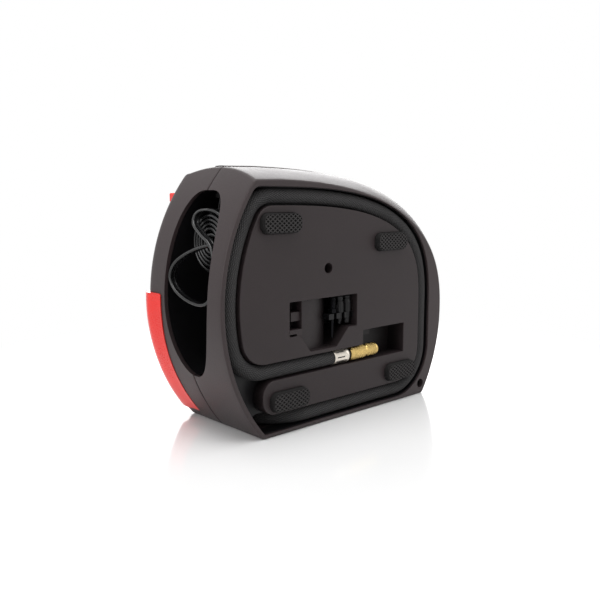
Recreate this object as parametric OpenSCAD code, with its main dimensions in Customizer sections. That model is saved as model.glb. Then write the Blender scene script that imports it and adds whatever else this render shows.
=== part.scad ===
// Portable tire inflator that stands on its flat edge: two shells, a hose wound in a groove
// round the back, a lead stowed in the side compartment and a motor-driven piston pump inside.
//
// Frame: millimetres, +Z up, the display faces -Y, the hose groove +Y, the lead compartment +X.
// Outlines of the back are drawn as [u, z]: u is measured from the foot of the compartment side
// towards -X, and a depth is measured from the plane of the back rim towards the front.

/* [Case outline] */
// Radius of the arched compartment side
side_r = 117; // [112:1:125]
// Height of that arch's centre
side_mid = 77; // [74:1:80]
// Height of the case at the back rim
rim_top = 148.8; // [146:0.2:151]
// Reach of the back rim from the foot of the compartment side
rim_reach = 166.6; // [164:0.2:169]
// Height of the case at its crest
crest_top = 157.2; // [155:0.1:159]
// Reach of the crest from the foot of the compartment side
crest_reach = 183.4; // [180:0.2:187]
// Height at which the round end reaches out furthest
round_mid = 58.8; // [56:0.2:62]
// Radius of the lower part of the round end
low_r = 101; // [97:1:106]

/* [Case depth] */
// Depth of the crest
crest_d = 45; // [42:1:48]
// Depth of the joint between the shells
seam_d = 39; // [37:0.5:41]
// Width of the joint line
seam_gap = 0.6; // [0.4:0.1:0.8]
// Depth at which the front edge starts to round
shoulder_d = 69; // [67:0.5:71]
// Radius of the front edge
front_r = 7; // [6:0.5:8]
// Wall of the shells
wall = 2.4; // [2:0.1:2.8]

/* [Hose and groove] */
// Diameter of the air hose
hose_od = 9.1; // [8.6:0.1:9.6]
// Gap between the hose and each wall of its groove
hose_gap = 0.7; // [0.4:0.1:0.9]
// Depth of the groove
groove_d = 10.5; // [10:0.1:11]
// Thickness of the groove's floor
floor_t = 1.6; // [1.2:0.1:1.8]
// Distance of the hose from the arched side
hose_in = 8.2; // [8:0.1:9]
// Height of the hose's lowest run
hose_low = 7.7; // [7.6:0.1:8.4]
// Height of the run that leads to the chuck
chuck_z = 38.6; // [38:0.1:39.5]
// Radius of the hose's bend at the lower round corner
low_bend_r = 28; // [27:0.5:30]
// Radius of the hose's bend into the run to the chuck
in_bend_r = 22; // [21:0.5:23]
// Radius of the hose's bend at the upper compartment corner
top_bend_r = 18; // [17:0.5:20]
// Radius of the bend that takes the hose into the case
dive_r = 30; // [28:1:32]

/* [Back panel] */
// Depth of the panel's face under the rim
panel_d = 0.8; // [0.6:0.1:1.2]
// Thickness of the panel's face
panel_t = 2.2; // [2:0.1:2.6]
// Length of a rubber foot
foot_l = 28.7; // [27:0.1:30]
// Width of a rubber foot
foot_w = 11.5; // [11:0.1:12]
// Height that a foot stands proud of the rim
foot_h = 3; // [2.5:0.1:3.4]
// Depth of the accessory notch
notch_d = 22; // [21:0.5:24]
// Depth of the chuck nest
nest_d = 15; // [14:0.5:16]

/* [Hose end] */
// Length of the crimped ferrule
ferrule_l = 13; // [12:0.5:14]
// Diameter of the crimped ferrule
ferrule_od = 9.9; // [9.8:0.1:10.2]
// Length of the brass chuck
chuck_l = 26; // [25:0.5:27]
// Diameter of the brass chuck
chuck_od = 9.6; // [9:0.1:10]

/* [Lead compartment] */
// Depth of the compartment's mouth centre
mouth_d = 36; // [35.5:0.5:36.5]
// Height of the compartment's mouth centre
mouth_z = 88; // [86:0.5:90]
// Reach of the mouth towards the front
mouth_front = 20; // [19:0.5:21]
// Reach of the mouth towards the back
mouth_back = 23.6; // [23:0.1:24]
// Reach of the mouth upwards
mouth_up = 55; // [54:0.5:56]
// Reach of the mouth downwards
mouth_down = 53.4; // [52:0.2:54.4]
// Distance from the widest point of the side to the compartment's inner wall
tray_x = 40; // [39:0.5:42]
// Wall of the compartment tray
tray_wall = 1.5; // [1.2:0.1:1.7]

/* [Power lead] */
// Width of the twin lead
lead_w = 5; // [4.6:0.1:5.2]
// Thickness of the twin lead
lead_t = 2; // [1.8:0.1:2]
// Outer radius of the stowed coil
coil_r = 18.3; // [17.8:0.1:18.6]
// Barrel diameter of the 12 V plug
plug_od = 20.8; // [20:0.1:21.5]

/* [Pump] */
// Diameter of the motor can
can_od = 37; // [36:0.5:38]
// Length of the motor can
can_l = 54; // [52:1:56]
// Height of the motor's axis
motor_z = 121; // [119.5:0.5:122]
// Module of the gear teeth
gear_m = 0.85; // [0.83:0.01:0.87]
// Width of the crank gear
gear_w = 6; // [5:0.5:6.5]
// Throw of the crank
throw = 6.5; // [6:0.1:7]
// Distance between the centres of the connecting rod
rod_l = 40; // [39:0.5:41]
// Bore of the pump cylinder
bore_d = 22; // [21:0.5:23]
// Wall of the pump cylinder
bore_wall = 3; // [2.6:0.1:3.2]

/* [Front] */
// Width of the control panel
board_w = 84; // [82:1:86]
// Height of the control panel
board_h = 76; // [74:1:78]
// Diameter of a control button
key_od = 13; // [12:0.5:14]
// Travel of a control button
key_travel = 0.9; // [0.7:0.1:1]
// Diameter of the work light's lens
lens_od = 33; // [31:0.5:34]

/* [Hidden] */
$fn = 48;

clear = 0.15;                      // gap round a piece that drops into a recess
snug = 0.05;                       // gap between fixed pieces that sit face to face
run_fit = 0.04;                    // radial gap of a turning or sliding fit

// ---- the case's outline ----
side_cu = sqrt(side_r * side_r - side_mid * side_mid);
side_bulge = side_r - side_cu;
accent_t = 3;                                   // thickness of the red corner piece's front edge
base_left = (crest_reach - side_bulge - accent_t) / 2;   // +X of the compartment side's foot
front_d = shoulder_d + front_r;                 // depth of the flat front face
key_proud = 3.8;                                // height of the buttons over the front face
back_y = (front_d + key_proud - foot_h) / 2;    // +Y of the back rim's plane
rim_n = 2.43;                                   // power of the rim's round end
crest_n = 3.1;                                  // power of the crest's round end
front_fall = 0.4;                               // part of the crest's swell lost at the shoulder

function mix(a, b, f) = a + (b - a) * f;
function arc(c, r, a0, a1, n) =
  [for (i = [0:n]) let (a = a0 + (a1 - a0) * i / n) c + r * [cos(a), sin(a)]];
function side_u(z, r = side_r) = side_cu - sqrt(r * r - pow(z - side_mid, 2));

// A quadrant of a rounded oval, pushed out by t along its own normal
function oval_point(c, a, b, n, q, t) =
  let (x = pow(abs(cos(q)), 2 / n), y = pow(abs(sin(q)), 2 / n),
       m = [sign(cos(q)) * pow(x, n - 1) / a, sign(sin(q)) * pow(y, n - 1) / b])
  c + [a * x * sign(cos(q)), b * y * sign(sin(q))] + t * m / norm(m);
function oval(c, a, b, n, q0, q1, steps, t = 0) =
  [for (i = [0:steps]) oval_point(c, a, b, n, q0 + (q1 - q0) * i / steps, t)];

// Outline of the case: swell is 0 at the back rim and 1 at the crest
corner_drop = 0.5;                                 // fall of the top towards the arched side
function outline(swell) =
  let (top = mix(rim_top, crest_top, swell),
       reach = mix(rim_reach, crest_reach, swell),
       low_a = asin(round_mid / low_r))
  concat(
    [for (i = [0:14]) let (z = (top - corner_drop) * i / 14) [side_u(z), z]],
    oval([0, round_mid], reach, top - round_mid, mix(rim_n, crest_n, swell), 87, 0, 18),
    [for (i = [1:6]) [reach - low_r, round_mid] + low_r * [cos(low_a * i / 6), -sin(low_a * i / 6)]]
  );
function swell(d) = d <= crest_d
  ? 1 - pow(1 - d / crest_d, 2)
  : 1 - front_fall * pow(min(1, (d - crest_d) / (shoulder_d - crest_d)), 2);

// Moves every side of a clockwise outline inwards by t
function unit(v) = v / norm(v);
function inward(p, q) = let (e = unit(q - p)) [e[1], -e[0]];
function inset(p, t) = [
  for (i = [0:len(p) - 1])
    let (n = len(p), a = inward(p[(i + n - 1) % n], p[i]), b = inward(p[i], p[(i + 1) % n]))
    p[i] + t * (a + b) / (1 + a * b)
];
function at(u, z, d) = [base_left - u, back_y - d, z];
function ring(d, t) = [for (p = inset(outline(swell(d)), t)) at(p[0], p[1], d)];

// Faces between rings that follow each other; loop closes the last ring on the first
function ring_faces(m, n, loop) = [
  for (k = [0:m - (loop ? 1 : 2)])
    for (i = [0:n - 1])
      let (a = k * n + i, b = k * n + (i + 1) % n, c = ((k + 1) % m) * n + i,
           e = ((k + 1) % m) * n + (i + 1) % n)
      each [[a, c, b], [b, c, e]]
];
module hoop(profile) {
  rows = [for (s = profile) ring(s[0], s[1])];
  polyhedron([for (r = rows) each r], ring_faces(len(rows), len(rows[0]), true));
}
module cup(profile) {
  rows = [for (s = profile) ring(s[0], s[1])];
  n = len(rows[0]);
  m = len(rows);
  polyhedron([for (r = rows) each r],
    concat([[for (i = [n - 1:-1:0]) i]], [[for (i = [0:n - 1]) (m - 1) * n + i]],
      [for (f = ring_faces(m, n, false)) [f[0], f[2], f[1]]]));
}

// Extrudes an outline drawn as [u, z] from depth d0 to depth d1
module slab(d0, d1) {
  translate([base_left, back_y - d0, 0])
    rotate([90, 0, 0])
      linear_extrude(d1 - d0)
        mirror([1, 0]) children();
}
// Puts a piece drawn along +Z at a place of the back, pointing to the front
module bore_in(u, z, d) {
  translate(at(u, z, d)) rotate([90, 0, 0]) children();
}
// Extrudes an outline drawn as [depth, z] along X, from x0 to x1
module side_slab(x0, x1) {
  translate([x0, back_y, 0])
    rotate([90, 0, 90])
      linear_extrude(x1 - x0)
        mirror([1, 0]) children();
}
module rounded(w, h, r) {
  x = w / 2 - r;
  y = h / 2 - r;
  polygon(concat(
    arc([x, y], r, 0, 90, 6), arc([-x, y], r, 90, 180, 6),
    arc([-x, -y], r, 180, 270, 6), arc([x, -y], r, 270, 360, 6)));
}

// ---- the hose's route, which the groove and the back panel follow ----
hose_r = hose_od / 2;
lane = hose_r + hose_gap;                          // half the groove's width
hose_d = groove_d / 2 + 0.2;                       // depth of the hose's centre line
loop_r = side_r - hose_in;                         // radius of the run along the arched side
loop_reach = rim_reach - 18.9;                     // furthest point of the loop
loop_top = rim_top - 9.2;                          // height of the run under the top
loop_mid = round_mid + 4.2;
side_c = [side_cu, side_mid];
top_bend_z = loop_top - top_bend_r;
top_bend_u = side_cu - sqrt(pow(loop_r - top_bend_r, 2) - pow(top_bend_z - side_mid, 2));
top_bend_c = [top_bend_u, top_bend_z];
top_bend_a = atan2(top_bend_z - side_mid, top_bend_u - side_cu);
in_bend_z = chuck_z + in_bend_r;
in_bend_u = side_cu - sqrt(pow(loop_r - in_bend_r, 2) - pow(in_bend_z - side_mid, 2));
in_bend_c = [in_bend_u, in_bend_z];
in_bend_a = 360 + atan2(in_bend_z - side_mid, in_bend_u - side_cu);
low_bend_c = [loop_reach - low_bend_r, hose_low + low_bend_r];
dive_u = 36;                                       // where the hose starts to sink in
dive_turn = 80;                                    // angle through which it then bends

// The loop offset by t: out is plus. Each stretch runs on from the last, from the lower round corner
function low_corner(t) = arc(low_bend_c, low_bend_r + t, 270, 360, 8);
function round_top(t) = oval([0, loop_mid], loop_reach, loop_top - loop_mid, 3, 0, 86, 20, t);
function top_corner(t) = arc(top_bend_c, top_bend_r + t, 90, top_bend_a, 6);
function arch(t) = arc(side_c, loop_r + t, top_bend_a, in_bend_a, 10);
function in_corner(t) = arc(in_bend_c, in_bend_r + t, in_bend_a, 270, 8);

groove_low = hose_low - lane;
groove_r = 7;                                      // the groove's upper corner is tighter than the hose
groove_z = loop_top + lane - groove_r;
groove_u = side_cu - sqrt(pow(loop_r + lane - groove_r, 2) - pow(groove_z - side_mid, 2));
groove_a = atan2(groove_z - side_mid, groove_u - side_cu);
arch_end = 180 + asin((side_mid - groove_low) / (loop_r + lane));
function groove_edge(t) = concat(
  low_corner(lane + t), round_top(lane + t), arc([groove_u, groove_z], groove_r + t, 90, groove_a, 6),
  arc(side_c, loop_r + lane + t, groove_a, arch_end, 20));
function island(t) = concat(
  [[loop_reach - lane - t, chuck_z + lane + t]],
  round_top(-lane - t), top_corner(-lane - t), arch(-lane - t), in_corner(-lane - t));
bar_u = 0.7;                                       // left end of the bar under the chuck's run
bar_r = 9;
nest_u = [85.4, 126.4];
nest_z = [chuck_z - lane, 53.5];
function bar(t) = concat(
  low_corner(-lane - t),
  [[loop_reach - lane - t, nest_z[1]], [nest_u[1] + t, nest_z[1]], [nest_u[1] + t, chuck_z - lane - t]],
  arc([bar_u + bar_r, chuck_z - lane - bar_r], bar_r - t, 90, 180, 7),
  arc([bar_u + bar_r, hose_low + lane + bar_r], bar_r - t, 180, 270, 7));

// ---- recesses of the back panel ----
notch_u = [21.4, 79.1];
notch_z = [57.4, 78];
notch_low = [[29.8, 57.4], [38.4, 46.2], [60.8, 46.2], [71.4, 57.4]];   // the trapezoid under it
function notch(t) = [
  [notch_u[0] - t, notch_z[1] + t], [notch_u[0] - t, notch_z[0] - t],
  notch_low[0] + [-t * 0.4, -t], notch_low[1] + [-t * 0.4, -t],
  notch_low[2] + [t * 0.4, -t], notch_low[3] + [t * 0.4, -t],
  [notch_u[1] + t, notch_z[0] - t], [notch_u[1] + t, notch_z[1] + t]];
function nest(t) = [
  [nest_u[0] - t, nest_z[0] - t], [nest_u[1] + t, nest_z[0] - t],
  [nest_u[1] + t, nest_z[1] + t], [nest_u[0] - t, nest_z[1] + t]];
tub_wall = 1.8;
floor_d = groove_d + floor_t;
feet = [[14, 124.3], [109.9, 109.9], [20.3, 20.3], [121.8, 21]];
foot_sink = 0.6;

// ---- case screws: [u, z, depth of the head's seat] ----
screws = [[53.2, 96, 30], [145.3, 7.4, 5.5], [20.3, 20.3, 30], [131, 21, 30]];
screw_shank = 1.75;
screw_head = 3;
screw_l = 18;
boss_r = 4.5;

// ---- the mouth of the lead compartment, as [depth, z] ----
function mouth(t) = let (c = [mouth_d, mouth_z]) concat(
  oval(c, mouth_front, mouth_up, 3.7, 0, 86, 12, t),
  oval(c, mouth_back, mouth_up, 2.8, 94, 176, 12, t),
  oval(c, mouth_back, mouth_down, 2.1, 184, 266, 12, t),
  oval(c, mouth_front, mouth_down, 2.3, 274, 354, 12, t));
tray_in = base_left + side_bulge - tray_x;         // +X of the compartment's inner wall
tray_back = floor_d + 0.1;
well_z = 24;                                       // floor of the plug's well
well_d = 38;
module tray_outline(t) {
  intersection() {
    union() {
      polygon(mouth(t));
      translate([0, well_z - t]) square([well_d + t, 40]);
    }
    translate([tray_back + tray_wall - t, 0]) square([80, 160]);
  }
}

// ---- a smooth line through chosen points, with k steps between each two ----
function spline(p, k) = concat(
  [for (i = [0:len(p) - 2], j = [0:k - 1])
    let (a = p[max(0, i - 1)], b = p[i], c = p[i + 1], d = p[min(len(p) - 1, i + 2)], t = j / k)
    0.5 * (2 * b + (c - a) * t + (2 * a - 5 * b + 4 * c - d) * t * t
      + (3 * b - 3 * c + d - a) * t * t * t)],
  [p[len(p) - 1]]);
// A tube of width w and thickness h along the path; its width lies along the side vector
module tube(path, w, h, sides, side) {
  n = len(path);
  rows = [for (i = [0:n - 1])
    let (t = unit(path[min(n - 1, i + 1)] - path[max(0, i - 1)]),
         a = unit(side - (side * t) * t), b = cross(t, a))
    [for (k = [0:sides - 1]) let (q = 360 * (k + 0.5) / sides)
      path[i] + a * w / 2 * cos(q) + b * h / 2 * sin(q)]];
  polyhedron([for (r = rows) each r],
    concat([[for (i = [sides - 1:-1:0]) i]], [[for (i = [0:sides - 1]) (n - 1) * sides + i]],
      [for (f = ring_faces(n, sides, false)) [f[0], f[2], f[1]]]));
}

// ---- shells ----
rear_end = seam_d - seam_gap / 2;
front_start = seam_d + seam_gap / 2;
tongue = 1.4;                                      // thickness of the lip that closes the joint
tongue_d = 4;                                      // how far it reaches into the other shell
inner_r = front_r - wall;

module case_wall_rear() {
  hoop(concat(
    [[0, 0.8], [0.8, 0]],
    [for (k = [1:6]) [0.8 + (rear_end - 0.8) * k / 6, 0]],
    [for (k = [6:-1:0]) [wall + (rear_end - wall) * k / 6, wall]],
    [[0, wall]]));
}
module bosses(d0, d1, list) {
  for (s = list) bore_in(s[0], s[1], d0) cylinder(r = boss_r, h = d1 - d0);
}
long_screws = [screws[0], screws[2], screws[3]];
corner_screw = [screws[1]];
rear_boss_end = rear_end - 2;
module rear_shell() color([0.30, 0.28, 0.28]) union() {
  difference() {
    union() {
      case_wall_rear();
      slab(0, wall) difference() {
        polygon(inset(outline(0), 1.2));
        polygon(groove_edge(0));
      }
      slab(0, floor_d) difference() {
        polygon(groove_edge(1.9));
        polygon(groove_edge(0));
      }
      slab(groove_d, floor_d) polygon(groove_edge(1));
      slab(panel_d, floor_d) {
        polygon(island(0));
        polygon(bar(0));
      }
      slab(panel_d + 1, notch_d + tub_wall) polygon(notch(tub_wall));
      slab(panel_d + 1, nest_d + tub_wall) polygon(nest(tub_wall));
      bosses(panel_d + 1, rear_boss_end, long_screws);
      bosses(1, floor_d, corner_screw);
    }
    difference() {
      slab(panel_d + panel_t, floor_d + 1) {
        polygon(island(2));
        polygon(bar(2));
      }
      slab(0, 40) polygon(notch(tub_wall));
      slab(0, 40) polygon(nest(tub_wall));
      bosses(0, rear_boss_end, long_screws);
    }
    slab(-1, notch_d) polygon(notch(0));
    slab(-1, nest_d) polygon(nest(0));
    // run of the hose to the chuck, between the island and the bar
    slab(-1, groove_d) translate([20, chuck_z - lane]) square([nest_u[0] - 19, 2 * lane]);
    // pit that lets the hose into the case
    slab(groove_d - 1, floor_d + 1) translate([-1, groove_low]) square([33.5, 2 * lane]);
    for (f = feet)
      slab(-1, panel_d + foot_sink) translate(f) rounded(foot_l + 2 * clear, foot_w + 2 * clear, 4.6);
    for (s = screws) {
      bore_in(s[0], s[1], -1) cylinder(r = screw_head + 0.2, h = s[2] + 1);
      bore_in(s[0], s[1], 0) cylinder(r = screw_shank + 0.15, h = 60);
    }
    side_slab(tray_in, tray_in + 60) polygon(mouth(0));
    lead_tray_space();
  }
  nest_ledge();
  notch_roll();
  notch_rack();
}
// Ledge in the nest that holds the chuck's end up
module nest_ledge() {
  slab(9, nest_d) translate([nest_u[0], nest_z[1] - 5.5]) square([15, 5.5]);
}
// Rolled surface that falls from the panel into the notch, with a latch pocket beside it
roll_u = [31, 66];
roll_d = 4;                                        // depth at which the rolled surface starts
latch_z = [61.3, 66.2, 71.5];
module notch_roll() {
  difference() {
    intersection() {
      slab(panel_d, notch_d + 0.5) polygon(notch(0.5));
      translate([base_left, back_y, notch_low[1][1] - 1])
        linear_extrude(notch_z[1] - notch_low[1][1] + 2)
          mirror([1, 0]) mirror([0, 1])
            polygon(concat(
              [[notch_u[0] - 1, notch_d + 1], [notch_u[0] - 1, panel_d], [roll_u[0], panel_d]],
              [for (i = [0:12]) let (t = 90 * i / 12)
                [mix(roll_u[0], roll_u[1], sin(t)), mix(notch_d, roll_d, cos(t))]],
              [[roll_u[1], notch_d + 1]]));
    }
    slab(-1, 9) translate([notch_u[0], latch_z[0]]) square([9.4, latch_z[1] - latch_z[0]]);
    slab(-1, 9) translate([notch_u[0], latch_z[2]]) square([9.4, notch_z[1] - latch_z[2]]);
    slab(-1, 9) translate([notch_u[0], latch_z[0]]) square([2.2, notch_z[1] - latch_z[0]]);
    slab(-1, panel_d + 1.6) translate([notch_u[0], latch_z[0]]) square([9.4, notch_z[1] - latch_z[0]]);
    slab(-1, 7) translate([notch_u[0], notch_z[0]]) square([5.6, 1.3]);
  }
}
// Rack of the notch, and the adapters in it: [u, depth, radius of the stem in the rack]
rack_z = 66.5;
rack_t = 3.5;
rack_d = 4;
rack_u = 57;
adapters = [[62.6, 7, 1.1], [69, 7, 1.9], [75.4, 7, 2.5]];
module notch_rack() {
  difference() {
    slab(rack_d, notch_d + 0.5) translate([rack_u, rack_z - rack_t])
      square([notch_u[1] - rack_u + 0.5, rack_t]);
    for (a = adapters) {
      translate([base_left - a[0], back_y - a[1], rack_z - rack_t - 1])
        cylinder(r = a[2] + run_fit, h = rack_t + 2);
      slab(-1, a[1]) translate([a[0] - a[2] - run_fit, rack_z - rack_t - 1])
        square([2 * (a[2] + run_fit), rack_t + 2]);
    }
  }
}
rebate = 0.6;                                      // the shells' rebate for the tray's rim
module side_core(r) {
  translate([base_left - side_cu, 0, side_mid])
    rotate([90, 0, 0]) cylinder(r = r, h = 200, center = true, $fn = 180);
}
module lead_tray_space() {
  intersection() {
    side_core(side_r - wall + rebate);
    side_slab(tray_in - tray_wall - clear, tray_in + 60)
      intersection() {
        tray_outline(tray_wall + clear);
        translate([floor_d + 0.05, 0]) square([80, 160]);
      }
  }
}

module front_shell() color([0.31, 0.29, 0.29]) {
  difference() {
    union() {
      cup(concat(
        [for (k = [6:-1:0]) [shoulder_d + front_r * sin(15 * k), front_r * (1 - cos(15 * k))]],
        [for (k = [3:-1:0]) [front_start + (shoulder_d - front_start) * k / 4, 0]],
        [[front_start, wall + clear], [rear_end - tongue_d, wall + clear],
          [rear_end - tongue_d, wall + clear + tongue], [front_start + 4, wall + clear + tongue],
          [front_start + 6, wall]],
        [for (k = [1:4]) [front_start + 6 + (shoulder_d - front_start - 6) * k / 4, wall]],
        [for (k = [1:6]) [shoulder_d + inner_r * sin(15 * k), wall + inner_r * (1 - cos(15 * k))]]));
      front_posts();
    }
    for (s = screws)
      bore_in(s[0], s[1], s[2]) cylinder(r = screw_shank + 0.02, h = screw_l + 0.5);
    side_slab(tray_in, tray_in + 60) polygon(mouth(0));
    lead_tray_space();
    front_cuts();
  }
}

// ---- places of the front, as [u, z] ----
face_in = front_d - wall;                          // depth of the front wall's inner face
panel_c = [80, 86];
window_c = [80, 100];
window_w = board_w * 11 / 21;
window_h = 30;
key_z = 64;
key_pitch = board_w * 2 / 7;
keys = [for (k = [-1:1]) [panel_c[0] + k * key_pitch, key_z]];
lamp_c = [panel_c[0] + board_w / 2 + 23, 82];
switch_c = [5, 96];
light_c = [-0.8, 138.5];
light_w = 16;
light_h = 6;
key_flange = face_in - 1.2;                        // depth of the keys' flanges at rest
board_d = 67;                                      // depth of the circuit board's back face
board_t = 1.6;
board_u = [38, 116];
board_z = [52, 114];
post_inset = 4;
board_posts = [for (u = [board_u[0] + post_inset, board_u[1] - post_inset],
                    z = [board_z[0] + post_inset, board_z[1] - post_inset]) [u, z]];

// ---- the pump's places ----
mech_d = 43;
mech_y = back_y - mech_d;
can_x = 40;                                        // +X end of the motor can
frame_x = can_x - can_l;                           // the motor's face on the pump frame
frame_t = 3;
frame_half = 18.5;
pinion_teeth = 10;
gear_teeth = 50;
gear_gap = 0.1;                                    // extra distance between the gears' centres
crank_z = motor_z - gear_m * (pinion_teeth + gear_teeth) / 2 - gear_gap;
gear_x = frame_x - frame_t - 1.2;                  // +X face of the crank gear
rod_t = 5;
pin_gap = 0.3;                                     // the crank pin stops this far from the rod
pin_l = 4;
rod_x = gear_x - gear_w - pin_l - pin_gap - rod_t / 2;
eye_z = crank_z - throw;                           // the rod's big end at rest
wrist_z = eye_z - rod_l;
crown_z = wrist_z - 9;
piston_r = bore_d / 2 - run_fit;
piston_h = 16;
head_gap = 0.5;
head_z = crown_z - head_gap;                       // top face of the cylinder head
head_h = 12.5;
head_half = 17;
bolt_at = 13;
shelf_t = 5;
shelf_z = head_z + 24.5;                           // underside of the frame's shelf
module on_x(x, z) { translate([x, mech_y, z]) rotate([0, -90, 0]) children(); }
module bolt_places() {
  for (i = [-1, 1], j = [-1, 1]) translate([rod_x + i * bolt_at, mech_y + j * bolt_at, 0]) children();
}

module front_posts() {
  for (s = long_screws)
    bore_in(s[0], s[1], rear_boss_end + 0.3) cylinder(r = 3.6, h = face_in - rear_boss_end);
  for (s = corner_screw)
    bore_in(s[0], s[1], floor_d + 0.3) cylinder(r = 3.6, h = face_in - floor_d);
  for (p = board_posts) {
    bore_in(p[0], p[1], board_d + board_t + snug) cylinder(r = 3, h = face_in - board_d - board_t + 0.5);
    bore_in(p[0], p[1], board_d - 0.6) cylinder(r = 1.2, h = 4);
  }
  // cradle for the motor's far end
  difference() {
    slab(58, face_in + 0.5) translate([base_left - can_x + 2, 116]) square([4, 20]);
    on_x(can_x + 10, motor_z) cylinder(r = can_od / 2 + snug, h = 40);
  }
  // slotted rib that grips the pump frame, and a post under its shelf
  difference() {
    slab(57, face_in + 0.5)
      translate([base_left - frame_x - 3, motor_z + 7]) square([frame_t + 6, 8]);
    slab(50, mech_d + frame_half + 0.3)
      translate([base_left - frame_x - snug, motor_z]) square([frame_t + 2 * snug, 30]);
    on_x(frame_x + 10, motor_z) cylinder(r = can_r + 0.3, h = 10);
  }
  bore_in(base_left - rod_x + 12, shelf_z + shelf_t / 2, mech_d + head_half + 0.3)
    cylinder(r = 3, h = face_in - mech_d - head_half);
  // ring that carries the work light
  difference() {
    bore_in(lamp_c[0], lamp_c[1], lamp_seat) cylinder(r = lens_od / 2 + 2.2, h = face_in + 0.5 - lamp_seat);
    bore_in(lamp_c[0], lamp_c[1], lamp_seat + 1) cylinder(r = lens_od / 2 + clear, h = 30);
    bore_in(lamp_c[0], lamp_c[1], lamp_seat - 1) cylinder(r = lens_od / 2 - 2, h = 3);
  }
}
lamp_seat = 64;
switch_w = 12;
switch_h = 20;
module front_cuts() {
  slab(face_in - 1, front_d + 1)
    translate(window_c) square([window_w - 2, window_h - 2], center = true);
  for (k = keys) bore_in(k[0], k[1], face_in - 1) cylinder(r = key_od / 2 + clear, h = wall + 2);
  bore_in(lamp_c[0], lamp_c[1], lamp_seat + 1) cylinder(r = lens_od / 2 + clear, h = 30);
  slab(face_in - 1, front_d + 1)
    translate(switch_c) square([switch_w + 2 * clear, switch_h + 2 * clear], center = true);
  slab(shoulder_d - 6, front_d + 1)
    translate(light_c) square([light_w + 2 * clear, light_h + 2 * clear], center = true);
}

// ---- trim of the case ----
// Red corner piece: a ring sector round the side arch's axis, cut to its outline
accent_side_t = 0.8;
accent_back = [56.5, 59.6];                        // depth of its rear edge at foot and head
accent_z = [6, 82];
accent_bend = 40;                                  // height above which the rear edge is upright
accent_r = 2;                                      // corner at the top of the rear edge
accent_lift = 4;                                   // thins the lower end on the side
accent_lean = 1.8;                                 // thins the lower end on the front
module red_accent() color([0.86, 0.16, 0.13]) {
  r0 = side_r + clear;
  intersection() {
    translate([base_left - side_cu, back_y, side_mid])
      rotate([90, 0, 0])
        rotate_extrude(angle = 50, start = -42, $fn = 180)
          polygon(concat(
            [[r0, accent_back[0] - 2], [r0 + accent_side_t, accent_back[0] - 2],
              [r0 + accent_side_t, accent_back[1] + 0.5], [side_r + accent_t, shoulder_d]],
            arc([side_r - front_r, shoulder_d], front_r + accent_t, 15, 75, 4),
            [[side_r - front_r - 2, front_d + accent_t - 0.2], [side_r - 36, front_d + 1.6],
              [side_r - 36, front_d + snug], [side_r - front_r, front_d + snug]],
            arc([side_r - front_r, shoulder_d], front_r + clear, 75, 15, 4)));
    slab(0, 100) polygon(concat(
      [[-50, accent_z[0]], [32, accent_z[0]]],
      arc([-90, 110], 150, 316, 350, 8),
      [[-50, accent_z[1] + 4]]));
    side_slab(0, 150) polygon(concat(
      [[accent_back[0], accent_z[0]], [100, accent_z[0]], [100, accent_z[1]]],
      arc([accent_back[1] + accent_r, accent_z[1] - accent_r], accent_r, 90, 180, 4),
      [[accent_back[1], accent_bend]]));
    translate([base_left - side_cu, back_y, side_mid + accent_lift]) rotate([90, 0, 0])
      cylinder(r = norm([side_r + accent_t, accent_lift]), h = 200, $fn = 180);
    translate([0, back_y - front_d - accent_t, side_mid]) rotate([accent_lean, 0, 0])
      translate([0, 0, -150]) cube([200, 200, 300]);
  }
}
// Slim raised strip along the crest, just in front of the joint
strip_d = [41, 50];
strip_t = 0.8;
strip_cols = [15, 29];
strip_start = 0.12;                                // where it starts between the corner and the first
module top_strip() color([0.25, 0.24, 0.24]) {
  mid = (strip_d[0] + strip_d[1]) / 2;
  edge = [[strip_d[0], -snug], [strip_d[0] + 0.8, -strip_t + 0.2], [mid, -strip_t],
    [strip_d[1] - 0.8, -strip_t + 0.2], [strip_d[1], -snug], [mid, -snug]];
  rings = [for (e = edge) ring(e[0], e[1])];
  rows = concat(
    [[for (r = rings) mix(r[strip_cols[0] - 1], r[strip_cols[0]], strip_start)]],
    [for (k = [strip_cols[0]:strip_cols[1]]) [for (r = rings) r[k]]]);
  polyhedron([for (r = rows) each r], concat(
    [[0, 1, 2, 3, 4, 5]], [[for (i = [5:-1:0]) (len(rows) - 1) * 6 + i]],
    ring_faces(len(rows), 6, false)));
}
module rubber_feet() color([0.13, 0.13, 0.13]) {
  for (f = feet)
    slab(-foot_h, panel_d + foot_sink - snug) translate(f) rounded(foot_l, foot_w, 4.5);
}
module case_screws() color([0.16, 0.16, 0.17]) {
  for (s = screws)
    difference() {
      union() {
        bore_in(s[0], s[1], s[2] - 2.4) cylinder(r = screw_head, h = 2.4);
        bore_in(s[0], s[1], s[2] - 1) cylinder(r = screw_shank, h = screw_l + 1);
      }
      slab(s[2] - 3, s[2] - 1.1) translate([s[0], s[1]]) {
        square([0.8, 3.4], center = true);
        square([3.4, 0.8], center = true);
      }
    }
}

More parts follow.
